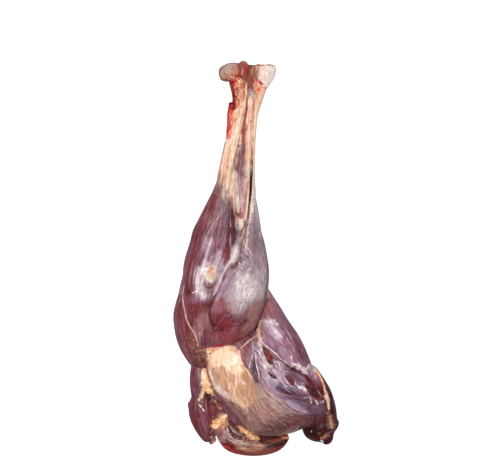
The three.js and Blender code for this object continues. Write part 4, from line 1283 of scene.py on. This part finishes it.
def threads(name):
    """Fine strokes strewn along one trail."""
    paint, trail, bearing, spread, length, count, strength = THREADS[name]
    random = np.random.default_rng(THREAD_SEED + list(THREADS).index(name))
    made = {}
    for step in range(count):
        row = spline(trail, np.array([random.uniform(0, 1)]))[0]
        middle = row[:2] + row[2] * random.normal(0, THREAD_SCATTER, 2)
        turn = np.radians(random.normal(bearing, spread))
        half = length * random.uniform(*THREAD_HALVES) * np.array([np.cos(turn), np.sin(turn)])
        bend = half[::-1] * THREAD_BEND * random.normal()
        width = random.uniform(*THREAD_HALF_WIDTHS)
        first, last = THREAD_TAPER
        start = (*(middle - half), first * width)
        end = (*(middle + half), last * width)
        path = [start, (*(middle + bend), width), end]
        made[f"{name} thread {step}"] = smear(paint, strength * random.uniform(*THREAD_STRENGTHS), *path)
    return made


def gather(*names):
    """The threads of several trails, laid one after another."""
    made = {}
    for name in names:
        made |= threads(name)
    return made


def fan_rays():
    """Pale and dark rays that spread from the knee over the fan muscle."""
    random = np.random.default_rng(FAN_SEED)
    made = {}
    for step, bearing in enumerate(np.linspace(*FAN_BEARINGS, FAN_RAYS)):
        bearing += random.normal(0, FAN_STRAY)
        start = FAN_REACH[0] * random.uniform(*FAN_STARTS)
        end = FAN_REACH[1] * random.uniform(*FAN_ENDS)
        path = []
        for reach, width in zip((start, (start + end) / 2, end), FAN_HALF_WIDTHS):
            turn = np.radians(bearing - FAN_CURL * (reach / end) ** 2)
            path.append((FAN_CENTRE[0] + reach * np.cos(turn), FAN_CENTRE[1] + reach * np.sin(turn), width))
        paint = FAN_PAINTS[step % len(FAN_PAINTS)]
        made[f"fan ray {step}"] = smear(paint, random.uniform(*FAN_STRENGTHS), *path)
    return made


def deselect():
    bpy.ops.object.select_all(action="DESELECT")


def linear(code):
    """An sRGB hex colour as linear red, green and blue."""
    values = np.array([int(code[place : place + 2], 16) for place in (1, 3, 5)]) / 255
    return np.where(values <= 0.04045, values / 12.92, ((values + 0.055) / 1.055) ** 2.4)


def wet(code):
    """A tone as seen on the meat, deepened for the pale gloss that the wet surface lays over it."""
    return linear(code) ** WET_DEPTH


def ease(value, low, high):
    """0 below low, 1 above high and smooth between them."""
    share = np.clip((value - low) / (high - low), 0, 1)
    return share * share * (3 - 2 * share)


LATTICE = np.random.default_rng(CLOUD_SEED).random((CLOUD_SIZE, CLOUD_SIZE, CLOUD_SIZE))


def cloud(points, grain, shift=0.0):
    """Smooth noise from 0 to 1, with lumps about one grain across; each shift gives another cloud."""
    place = (points + shift) / grain
    base = np.floor(place).astype(int)
    share = place - base
    share = share * share * (3 - 2 * share)
    total = np.zeros(len(points))
    for corner in itertools.product((0, 1), repeat=3):
        weight = np.prod(np.where(corner, share, 1 - share), axis=1)
        spot = (base + corner) % CLOUD_SIZE
        total += weight * LATTICE[spot[:, 0], spot[:, 1], spot[:, 2]]
    return total


def spline(rows, along):
    """Centripetal Catmull-Rom curve through the rows, at each share of the way along, from 0 to 1."""
    rows = np.asarray(rows, float)
    ends = np.vstack([2 * rows[0] - rows[1], rows, 2 * rows[-1] - rows[-2]])
    place = np.clip(along, 0, 1) * (len(rows) - 1)
    first = np.minimum(place.astype(int), len(rows) - 2)
    share = (place - first)[:, None]
    p0, p1, p2, p3 = (ends[first + step] for step in range(4))
    gaps = [np.sqrt(np.linalg.norm(b - a, axis=1, keepdims=True)) for a, b in ((p0, p1), (p1, p2), (p2, p3))]
    middle = np.where(gaps[1] < SAME_SPOT, 1.0, gaps[1])
    before = np.where(gaps[0] < SAME_SPOT, middle, gaps[0])
    after = np.where(gaps[2] < SAME_SPOT, middle, gaps[2])
    leave = ((p1 - p0) / before - (p2 - p0) / (before + middle)) * middle + p2 - p1
    arrive = ((p3 - p2) / after - (p3 - p1) / (middle + after)) * middle + p2 - p1
    return (
        p1
        + leave * share
        + (3 * (p2 - p1) - 2 * leave - arrive) * share**2
        + (2 * (p1 - p2) + leave + arrive) * share**3
    )


def spine_frames(stations, along):
    """Points on a muscle's spine, with its direction, sideways and upward axes and half sizes there."""
    stations = np.asarray(stations, float)
    step = 1e-4
    points = spline(stations[:, :3], along)
    ahead = spline(stations[:, :3], np.minimum(along + step, 1))
    behind = spline(stations[:, :3], np.maximum(along - step, 0))
    forward = ahead - behind
    forward /= np.linalg.norm(forward, axis=1, keepdims=True)
    side = np.cross(forward, [0.0, 0.0, 1.0])
    side /= np.linalg.norm(side, axis=1, keepdims=True)
    rise = np.cross(side, forward)
    return points, forward, side, rise, spline(stations[:, 3:], along)


def clumps(name, count, rows, seed):
    """Small lumps strewn along a trail, each as two stations under a numbered name."""
    random = np.random.default_rng(seed)
    made = {}
    for number in range(count):
        row = spline(rows, np.array([(number + 0.5) / count]))[0]
        middle = row[:3] + row[3] * random.uniform(-1, 1, 3) * LUMP_SCATTER
        size = row[4] * random.uniform(*LUMP_SIZES)
        turn = random.uniform(0, np.pi)
        half = LUMP_STRETCH * size * np.array([np.cos(turn), np.sin(turn), LUMP_TILT])
        made[f"{name}{number}"] = [[*(middle + way * half), size, LUMP_THICKNESS * size] for way in (-1, 1)]
    return made


def strew(trails, first_seed):
    """The lumps of several trails."""
    made = {}
    for seed, (name, (count, rows)) in enumerate(trails.items(), first_seed):
        made |= clumps(name, count, rows, seed)
    return made


def get_points(piece):
    flat = np.empty(len(piece.data.vertices) * 3)
    piece.data.vertices.foreach_get("co", flat)
    return flat.reshape(-1, 3) / MM


def set_points(piece, points):
    piece.data.vertices.foreach_set("co", (points * MM).ravel())
    piece.data.update()


def get_normals(piece):
    flat = np.empty(len(piece.data.vertices) * 3)
    piece.data.vertices.foreach_get("normal", flat)
    return flat.reshape(-1, 3)


def get_edges(piece):
    flat = np.empty(len(piece.data.edges) * 2, int)
    piece.data.edges.foreach_get("vertices", flat)
    return flat.reshape(-1, 2)


def draw_out(name, stations, bluntness):
    """A sphere drawn out along a spine: its poles close the ends and its rings take the stations' sizes."""
    deselect()
    sides, rings = (LUMP_SIDES, LUMP_RINGS) if len(stations) == 2 else (SIDES, RINGS)
    bpy.ops.mesh.primitive_uv_sphere_add(segments=sides, ring_count=rings, radius=MM)
    belly = bpy.context.active_object
    belly.name = name
    ball = get_points(belly)
    along = np.clip((1 - ball[:, 2]) / 2, 0, 1)
    reach = np.hypot(ball[:, 0], ball[:, 1])
    around = np.arctan2(ball[:, 1], ball[:, 0])
    points, _, side, rise, size = spine_frames(stations, along)
    out = (reach**bluntness)[:, None]
    points += side * (np.cos(around) * size[:, 0])[:, None] * out
    points += rise * (np.sin(around) * size[:, 1])[:, None] * out
    set_points(belly, points)
    return belly


def fuse(name, muscles, bluntness, voxel):
    """Draws out each muscle and joins them all into one even skin."""
    pieces = [draw_out(part, stations, bluntness) for part, stations in muscles.items()]
    deselect()
    for piece in pieces:
        piece.select_set(True)
    bpy.context.view_layer.objects.active = pieces[0]
    bpy.ops.object.join()
    whole = bpy.context.active_object
    whole.name = name
    bpy.ops.object.mode_set(mode="EDIT")
    bpy.ops.mesh.select_all(action="SELECT")
    bpy.ops.mesh.normals_make_consistent(inside=False)
    bpy.ops.object.mode_set(mode="OBJECT")
    skin = whole.modifiers.new("skin", "REMESH")
    skin.mode = "VOXEL"
    skin.voxel_size = voxel * MM
    bpy.ops.object.modifier_apply(modifier=skin.name)
    bpy.ops.object.shade_smooth()
    return whole


def relax(values, edges, rounds):
    """Pulls the values at each vertex towards the middle of its neighbours', round after round."""
    count = len(values)
    neighbours = np.bincount(edges.ravel(), minlength=count)[:, None]
    for _ in range(rounds):
        total = np.empty_like(values)
        for column in range(values.shape[1]):
            total[:, column] = np.bincount(edges[:, 0], values[edges[:, 1], column], count)
            total[:, column] += np.bincount(edges[:, 1], values[edges[:, 0], column], count)
        values = values + SMOOTHING_SHARE * (total / neighbours - values)
    return values


def fibre_map(points, muscles, bluntness):
    """Which muscle each point lies on, and how far along and round its fibres it is."""
    nearest_skin = np.full(len(points), np.inf)
    owner = np.zeros(len(points), int)
    fibre = np.zeros((len(points), 3))
    along = np.linspace(0, 1, SPINE_STEPS)
    fullness = np.maximum(2 * np.sqrt(along * (1 - along)), LEAST_FULLNESS) ** bluntness
    for number, stations in enumerate(muscles.values()):
        spine, forward, side, rise, size = spine_frames(stations, along)
        length = np.concatenate([[0], np.cumsum(np.linalg.norm(np.diff(spine, axis=0), axis=1))])
        room = size.max() + MUSCLE_ROOM
        near = np.flatnonzero(np.all((points > spine.min(0) - room) & (points < spine.max(0) + room), axis=1))
        if not len(near):
            continue
        gaps = np.stack([((points[near] - spot) ** 2).sum(1) for spot in spine])
        step = gaps.argmin(0)
        off = points[near] - spine[step]
        across = (off * side[step]).sum(1) / size[step, 0]
        up = (off * rise[step]).sum(1) / size[step, 1]
        skin = np.abs(np.hypot(across, up) - fullness[step]) * size[step].min(1)
        mine = skin < nearest_skin[near]
        chosen = near[mine]
        nearest_skin[chosen] = skin[mine]
        owner[chosen] = number
        fibre[chosen, 0] = (length[step] + (off * forward[step]).sum(1))[mine]
        fibre[chosen, 1] = (np.arctan2(up, across) * size.mean())[mine]
        fibre[chosen, 2] = FIBRE_SHIFT * number
    return owner, fibre


def to_photo(points):
    """The photograph pixel over each point, for a camera that looks straight down."""
    closer = CAMERA_RISE / (CAMERA_RISE - (points[:, 2] - LEG_MID_HEIGHT))
    right = PHOTO_WIDTH / 2 + (points[:, 0] - CAMERA_X) * closer / PIXEL
    down = PHOTO_HEIGHT / 2 - (points[:, 1] - CAMERA_Y) * closer / PIXEL
    return np.column_stack([right, down])


def reach_of(path, pixels):
    """Distance of each pixel from a stroke's line, in half widths of the stroke there."""
    if len(path) == 1:
        return np.hypot(*(pixels - path[0, :2]).T) / path[0, 2]
    curve = spline(path, np.linspace(0, 1, (len(path) - 1) * STROKE_STEPS + 1))
    curve[:, 2] = np.maximum(curve[:, 2], path[:, 2].min())
    best = np.full(len(pixels), np.inf)
    for start, end in zip(curve[:-1], curve[1:]):
        run = end[:2] - start[:2]
        share = np.clip((pixels - start[:2]) @ run / (run @ run), 0, 1)
        gap = np.hypot(*(pixels - start[:2] - share[:, None] * run).T)
        best = np.minimum(best, gap / (start[2] + share * (end[2] - start[2])))
    return best


def depth_of(outline, pixels):
    """How far inside a closed outline each pixel lies, in pixels; less than nothing outside it."""
    count = len(outline)
    corners = np.vstack([outline[-1], outline, outline[:2]])
    curve = spline(corners, np.linspace(1, count + 1, count * STROKE_STEPS + 1) / (count + 2))
    gap = np.full(len(pixels), np.inf)
    inside = np.zeros(len(pixels), bool)
    for start, end in zip(curve[:-1], curve[1:]):
        run = end - start
        off = pixels - start
        share = np.clip(off @ run / (run @ run), 0, 1)
        gap = np.minimum(gap, np.hypot(*(off - share[:, None] * run).T))
        level = (start[1] > pixels[:, 1]) != (end[1] > pixels[:, 1])
        inside ^= level & ((off[:, 0] * run[1] < off[:, 1] * run[0]) == (run[1] > 0))
    return np.where(inside, gap, -gap)


def read_skin(points, normals, fibre):
    """What strokes ask of each vertex: its pixel, how far it is in reach, and noise for edges and strands."""
    stray = np.column_stack([cloud(points, WOBBLE_LENGTH, shift) for shift in (100.0, 300.0)]) * 2 - 1
    broad, narrow = RAGGED_GRAINS
    return {
        "pixels": to_photo(points) + WOBBLE / PIXEL * stray,
        "facing": ease(normals[:, 2], *FACING_UP),
        "upper": ease(points[:, 2], *UPPER_HEIGHT),
        "ragged": ease(0.55 * cloud(points, broad) + 0.45 * cloud(points, narrow, 500), *RAGGED_SPAN),
        "patches": ease(cloud(points, PATCH_GRAIN, 1300), *PATCH_SPAN),
        "strands": 0.5 * cloud(fibre / BUNDLE, 1.0) + 0.5 * cloud(fibre / FIBRE, 1.0, 9),
    }


def brush(stroke, skin):
    """The vertices that a stroke or painted area touches and how strongly."""
    path = stroke["path"]
    if stroke["closed"]:
        room = stroke["soft"] + stroke["ragged"] + FEATHER * stroke["streaky"] + STROKE_ROOM
    else:
        room = path[:, 2].max() * (1 + 2 * stroke["ragged"]) + STROKE_ROOM
    low = path[:, :2].min(0) - room
    high = path[:, :2].max(0) + room
    near = np.flatnonzero(np.all((skin["pixels"] > low) & (skin["pixels"] < high), axis=1))
    stray = skin["ragged"][near] * 2 - 1
    if stroke["closed"]:
        depth = depth_of(path, skin["pixels"][near]) + stroke["ragged"] * stray
        depth += FEATHER * stroke["streaky"] * (skin["strands"][near] - 0.5)
        weight = ease(depth, -stroke["soft"], stroke["soft"])
    else:
        reach = reach_of(path, skin["pixels"][near]) * (1 + stroke["ragged"] * stray)
        weight = ease(-reach, -STROKE_RIM, stroke["soft"] - 1)
    weight *= skin["upper" if stroke["deep"] else "facing"][near]
    weight *= 1 - stroke["streaky"] * (1 - ease(skin["strands"][near], *STRAND_SPAN))
    weight *= 1 - stroke["patchy"] * skin["patches"][near]
    return near, weight


def mix(paint, tissue, near, cover, name):
    """Lays a paint over the vertices that are near, each with its own cover."""
    colour, kind = PAINTS[name]
    cover = cover[:, None]
    paint[near] += cover * (wet(colour) - paint[near])
    tissue[near] += cover * (np.array(TISSUES[kind]) - tissue[near])


def wash(paint, tissue, points, normals, strands):
    """Breaks up the ground of all muscle before the strokes are laid on it."""
    meaty = ease(tissue[:, 0], *MEATY_SPAN)
    film = cloud(points, FILM_GRAIN, 700)
    flush = cloud(points, FLUSH_GRAIN, 900)
    start, end = TENDON_END
    passing = ease(points[:, 1], *TENDON_START) * ease(-points[:, 1], -end, -start)
    under = ease(-normals[:, 2], *UNDER_SPAN)
    covers = {
        "grey lilac": FILM_WASH * meaty * ease(strands + 0.3 * film, *FILM_SPAN),
        "mauve": FLUSH_WASH * meaty * ease(flush, *FLUSH_SPAN),
        "deep maroon": GAP_WASH * meaty * ease(-strands, *GAP_SPAN),
        "pink tan": TENDON_WASH * passing * (0.6 + 0.8 * (strands - 0.5)),
        "lilac": UNDER_WASH * under * meaty * ease(film, *UNDER_FILM_SPAN),
    }
    for name, cover in covers.items():
        mix(paint, tissue, np.arange(len(points)), cover, name)


def vary_tone(paint, tissue, points, edges):
    """The painted tones, clouded and with crisper edges."""
    broad, narrow = TONE_GRAINS
    tone = 0.6 * cloud(points, broad, 1700) + 0.4 * cloud(points, narrow, 2100)
    spread = TONE_SPREAD * (0.4 + 0.6 * ease(tissue[:, 0], *TONE_SPAN))
    shade = np.sqrt(paint * (1 + spread * (tone * 2 - 1))[:, None] ** TONE_POWERS)
    return np.clip(shade + CRISPNESS * (shade - relax(shade, edges, CRISP_ROUNDS)), DARKEST, 1) ** 2


def dress(piece, muscles, touches, bluntness, smoothing):
    """Softens, sculpts and paints one fused piece."""
    edges = get_edges(piece)
    points = relax(get_points(piece), edges, smoothing)
    set_points(piece, points)
    normals = get_normals(piece)
    owner, fibre = fibre_map(points, muscles, bluntness)
    skin = read_skin(points, normals, fibre)
    grounds = [PAINTS[GROUND[name.rstrip("0123456789")]] for name in muscles]
    paint = relax(np.array([wet(colour) for colour, _ in grounds])[owner], edges, GROUND_ROUNDS)
    tissue = relax(np.array([TISSUES[kind] for _, kind in grounds])[owner], edges, GROUND_ROUNDS)
    wash(paint, tissue, points, normals, skin["strands"])
    lift = SWELLING * (cloud(points, SWELLING_GRAIN) - 0.5)
    lift += STRAND_RELIEF * tissue[:, 0] * (skin["strands"] - 0.5)
    for stroke in touches.values():
        near, weight = brush(stroke, skin)
        mix(paint, tissue, near, weight * stroke["strength"], stroke["paint"])
        lift[near] += weight * stroke["lift"]
    lift += tissue[:, 2] * FAT_RELIEF * (cloud(points, FAT_LUMP) - 0.5)
    paint = vary_tone(paint, tissue, points, edges)
    points += normals * lift[:, None]
    points[:, 2] = np.maximum(points[:, 2], 0)
    # Painted shade: deeper creases are darkened with the deep crease red, more strongly on muscle
    hollow = ((relax(points, edges, CREASE_ROUNDS) - points) * normals).sum(1)
    crease_shade = CREASE_SHADE + CREASE_SHADE_ON_MUSCLE * ease(tissue[:, 0], *CREASE_SHADE_SPAN)
    mix(paint, tissue, np.arange(len(points)), crease_shade * ease(hollow, *CREASE_DEPTH), "deep crease")
    set_points(piece, points)
    store(piece, "paint", "FLOAT_COLOR", "color", np.column_stack([paint, np.ones(len(paint))]))
    store(piece, "tissue", "FLOAT_VECTOR", "vector", tissue)
    store(piece, "fibre", "FLOAT_VECTOR", "vector", fibre)


def store(piece, name, kind, field, values):
    """Keeps a value for each vertex in the mesh, for the shader to read."""
    layer = piece.data.attributes.new(name, kind, "POINT")
    layer.data.foreach_set(field, np.ascontiguousarray(values, np.float32).ravel())


def fill(tree, node, inputs):
    """Sets or links a node's inputs."""
    for socket, value in inputs.items():
        if isinstance(value, bpy.types.NodeSocket):
            tree.links.new(value, node.inputs[socket])
        else:
            node.inputs[socket].default_value = value


def add_node(tree, kind, inputs=None, **settings):
    """Adds a shader node, sets its options, and fills or links its inputs."""
    made = tree.nodes.new("ShaderNode" + kind)
    for option, value in settings.items():
        setattr(made, option, value)
    fill(tree, made, inputs or {})
    return made


def new_material(name):
    material = bpy.data.materials.new(name)
    material.use_nodes = True
    return material, material.node_tree, material.node_tree.nodes["Principled BSDF"]


def read_paint(tree):
    """The colour painted on the mesh, its tissue's traits X, Y and Z, and the place on the object."""
    paint = add_node(tree, "Attribute", attribute_name="paint").outputs["Color"]
    tissue = add_node(tree, "Attribute", attribute_name="tissue").outputs["Vector"]
    place = add_node(tree, "TexCoord").outputs["Object"]
    return paint, add_node(tree, "SeparateXYZ", {0: tissue}).outputs, place


def noise(tree, place, scale, detail, roughness=0.5):
    settings = {"Vector": place, "Scale": scale, "Detail": detail, "Roughness": roughness}
    return add_node(tree, "TexNoise", settings).outputs["Fac"]


def along_fibres(tree, fibre, length, width):
    """Coordinates in which one lump of noise is so long and so wide, in mm."""
    return add_node(tree, "Mapping", {"Vector": fibre, "Scale": (1 / length, 1 / width, 1)}).outputs[0]


def scaled(tree, value, factor, plus=0.0):
    """A value times a factor, plus another."""
    return add_node(tree, "Math", {0: value, 1: factor, 2: plus}, operation="MULTIPLY_ADD").outputs[0]


def shown(tree, value, start, full, most, trait=1.0):
    """How strongly a pattern shows: nothing at start, the most at full, and by a trait of the tissue."""
    settings = {"Value": value, "From Min": start, "From Max": full, "To Max": most}
    return scaled(tree, add_node(tree, "MapRange", settings).outputs[0], trait)


def tinted(tree, under, share, tint, blend="MULTIPLY"):
    """A colour with a share of a tint laid over it."""
    settings = {"Fac": share, "Color1": under, "Color2": (*tint, 1)}
    return add_node(tree, "MixRGB", settings, blend_type=blend).outputs[0]


def bumped(tree, height):
    settings = {"Height": height, "Strength": BUMP_STRENGTH, "Distance": BUMP_DEPTH * MM}
    return add_node(tree, "Bump", settings).outputs[0]


# Raw muscle, tendon and fat under a wet film: painted tones broken by pale film threads, dark fibre gaps,
# mottling and specks of blood; fat shows its lobules; glossy where damp
def raw_meat():
    material, tree, shader = new_material("raw_muscle_under_silverskin")
    paint, traits, place = read_paint(tree)
    fibre = add_node(tree, "Attribute", attribute_name="fibre").outputs["Vector"]
    bundles = noise(tree, along_fibres(tree, fibre, STRAND_LENGTH, STRAND_WIDTH), 1.0, 3.0)
    film = noise(tree, along_fibres(tree, fibre, THREAD_LENGTH, THREAD_WIDTH), 1.0, 2.0)
    grain = noise(tree, along_fibres(tree, fibre, GRAIN_LENGTH, GRAIN_WIDTH), 1.0, 3.0, 0.6)
    mottle = noise(tree, place, 1 / (MOTTLE * MM), 4.0, 0.6)
    specks = noise(tree, place, 1 / (SPECK * MM), 1.0)
    lobules = add_node(tree, "TexVoronoi", {"Vector": place, "Scale": 1 / (FAT_GRAIN * MM)})
    streak = add_node(tree, "MixRGB", {"Fac": THREAD_SHARE, "Color1": bundles, "Color2": film}).outputs[0]
    cells = shown(tree, lobules.outputs["Distance"], *FAT_CELLS, traits["Z"])

    tone = tinted(tree, paint, shown(tree, streak, *FILM_THREADS, traits["X"]), wet(THREAD_TONE), "MIX")
    tone = tinted(tree, tone, shown(tree, streak, *FIBRE_GAPS, traits["X"]), GAP_TINT)
    tone = tinted(tree, tone, shown(tree, mottle, *BLOTCHES), BLOTCH_TINT)
    tone = tinted(tree, tone, shown(tree, specks, *BLOOD_SPECKS, traits["X"]), SPECK_TINT)
    tone = tinted(tree, tone, cells, CELL_TINT)
    light = add_node(tree, "MapRange", {
        "Value": grain, "From Min": GRAIN_SPAN[0], "From Max": GRAIN_SPAN[1],
        "To Min": GRAIN_LIGHT[0], "To Max": GRAIN_LIGHT[1]})
    share = scaled(tree, traits["X"], GRAIN_ON_MUSCLE, GRAIN_EVERYWHERE)
    light = scaled(tree, light.outputs[0], share, 1.0)
    grained = add_node(tree, "MixRGB", {"Fac": 1.0, "Color1": tone, "Color2": light}, blend_type="MULTIPLY")

    damp = scaled(tree, mottle, DAMPNESS, -DAMPNESS / 2)
    dents = scaled(tree, cells, CELL_BUMP, scaled(tree, streak, traits["X"]))
    bump = bumped(tree, scaled(tree, mottle, MOTTLE_BUMP, dents))
    fill(tree, shader, {
        "Base Color": grained.outputs[0], "Roughness": scaled(tree, damp, 1.0, traits["Y"]),
        "Normal": bump, "Coat Normal": bump, "IOR": 1.4, "Specular IOR Level": 0.22,
        "Subsurface Weight": 0.1, "Subsurface Radius": (1.0, 0.35, 0.25), "Subsurface Scale": 3 * MM,
        "Coat Weight": 0.18, "Coat Roughness": 0.13})
    return material


# Damp cartilage over bone: pale, faintly mottled and pitted, duller than the meat
def cartilage():
    material, tree, shader = new_material("damp_cartilage_on_bone")
    paint, traits, place = read_paint(tree)
    mottle = noise(tree, place, 1 / (CARTILAGE_MOTTLE * MM), 4.0, 0.7)
    damp = scaled(tree, mottle, BONE_DAMPNESS, -BONE_DAMPNESS / 2)
    fill(tree, shader, {
        "Base Color": tinted(tree, paint, shown(tree, mottle, *BONE_BLOTCHES), BONE_TINT),
        "Roughness": scaled(tree, damp, 1.0, traits["Y"]), "Normal": bumped(tree, mottle), "IOR": 1.4,
        "Subsurface Weight": 0.1, "Subsurface Radius": (1.0, 0.5, 0.4), "Subsurface Scale": 2 * MM})
    return material


# White painted board, lit so evenly that it shows hardly any shade
def white_floor():
    material, tree, shader = new_material("white_painted_board")
    place = add_node(tree, "TexCoord").outputs["Object"]
    grit = noise(tree, place, 1 / (FLOOR_GRIT * MM), 2.0)
    tone = add_node(tree, "MapRange", {"Value": grit, "To Min": FLOOR_TONES[0], "To Max": FLOOR_TONES[1]})
    fill(tree, shader, {
        "Base Color": tone.outputs[0], "Roughness": 0.8, "Emission Color": (1, 1, 1, 1),
        "Emission Strength": FLOOR_GLOW})
    return material


def look_down():
    bpy.ops.object.camera_add(location=(CAMERA_X * MM, CAMERA_Y * MM, (LEG_MID_HEIGHT + CAMERA_RISE) * MM))
    camera = bpy.context.active_object
    camera.data.lens = LENS
    camera.data.sensor_width = SENSOR
    camera.data.clip_end = VIEW_END
    bpy.context.scene.camera = camera


def add_light(name, place, size, power):
    bpy.ops.object.light_add(type="AREA", location=place)
    lamp = bpy.context.active_object
    lamp.name = name
    lamp.data.size = size
    lamp.data.energy = power
    lamp.rotation_euler = (-Vector(place)).to_track_quat("-Z", "Y").to_euler()


look_down()
for name, (place, side, power) in LAMPS.items():
    add_light(name, place, side, power)

world = bpy.data.worlds.new("white studio")
bpy.context.scene.world = world
world.use_nodes = True
world.node_tree.nodes["Background"].inputs["Color"].default_value = (1, 1, 1, 1)
world.node_tree.nodes["Background"].inputs["Strength"].default_value = WORLD_GLOW
bpy.context.scene.view_settings.view_transform = "Standard"

deselect()
bpy.ops.mesh.primitive_plane_add(size=FLOOR_SIZE * MM, location=(0, 0, -FLOOR_DROP * MM))
floor = bpy.context.active_object
floor.name = "floor"
floor.data.materials.append(white_floor())
# The wet sides of the meat would otherwise be hazed by the bright floor's reflection.
floor.visible_glossy = False

shank_threads = gather(
    "torn light", "torn", "torn red", "torn rust", "tissue", "tissue light", "tendon", "tendon light",
    "centre", "strip")
end_threads = gather("ash", "ash dark")
shin_threads = gather("shin", "shin dark")
calf_threads = gather("face", "face dark", "low", "low light", "wrinkle dark", "wrinkle")
outer_threads = gather("rough", "rough dark")
knee_threads = gather("sheet", "sheet dark")
thigh_threads = gather("rear dark", "rear", "net", "cross net", "fan tail")
hip_threads = gather("lobe", "flap", "flap dark", "window")
bone_threads = gather("groove", "groove light", "condyle", "condyle pink", "torn red", "torn rust")

meat = raw_meat()
flesh = {
    "shank_tendons": (
        SHANK | strew(ANKLE_TRAILS, len(TRAILS)), SHANK_VOXEL, SHANK_SMOOTHING,
        ANKLE_TOUCHES | SHANK_TOUCHES | shank_threads | TENDON_ENDS | end_threads),
    "drumstick_flesh": (
        DRUMSTICK, DRUMSTICK_VOXEL, DRUMSTICK_SMOOTHING,
        SHANK_TOUCHES | shin_threads | SHIN_TOUCHES | TENDON_ENDS | end_threads | KNEE_TOUCHES | CALF_TOUCHES
        | calf_threads | CREASE_TOUCHES | OUTER_TOUCHES | outer_threads),
    "thigh_flesh": (
        THIGH, THIGH_VOXEL, THIGH_SMOOTHING,
        KNEE_TOUCHES | knee_threads | FAN_TOUCHES | fan_rays() | REAR_TOUCHES | thigh_threads | WINDOWS),
    "hip_flesh": (
        HIP | strew(TRAILS, 0), HIP_VOXEL, HIP_SMOOTHING, KNEE_TOUCHES | HIP_TOUCHES | hip_threads),
}
for name, (muscles, voxel, smoothing, touches) in flesh.items():
    piece = fuse(name, muscles, BLUNTNESS, voxel)
    dress(piece, muscles, touches, BLUNTNESS, smoothing)
    piece.data.materials.append(meat)
    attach(piece, "root")
    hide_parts("leg_flesh")

bone = fuse("shin_bone_end", KNUCKLE, BONE_BLUNTNESS, BONE_VOXEL)
dress(bone, KNUCKLE, ANKLE_TOUCHES | bone_threads, BONE_BLUNTNESS, BONE_SMOOTHING)
bone.data.materials.append(cartilage())
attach(bone, "root")
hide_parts("shin_bone")
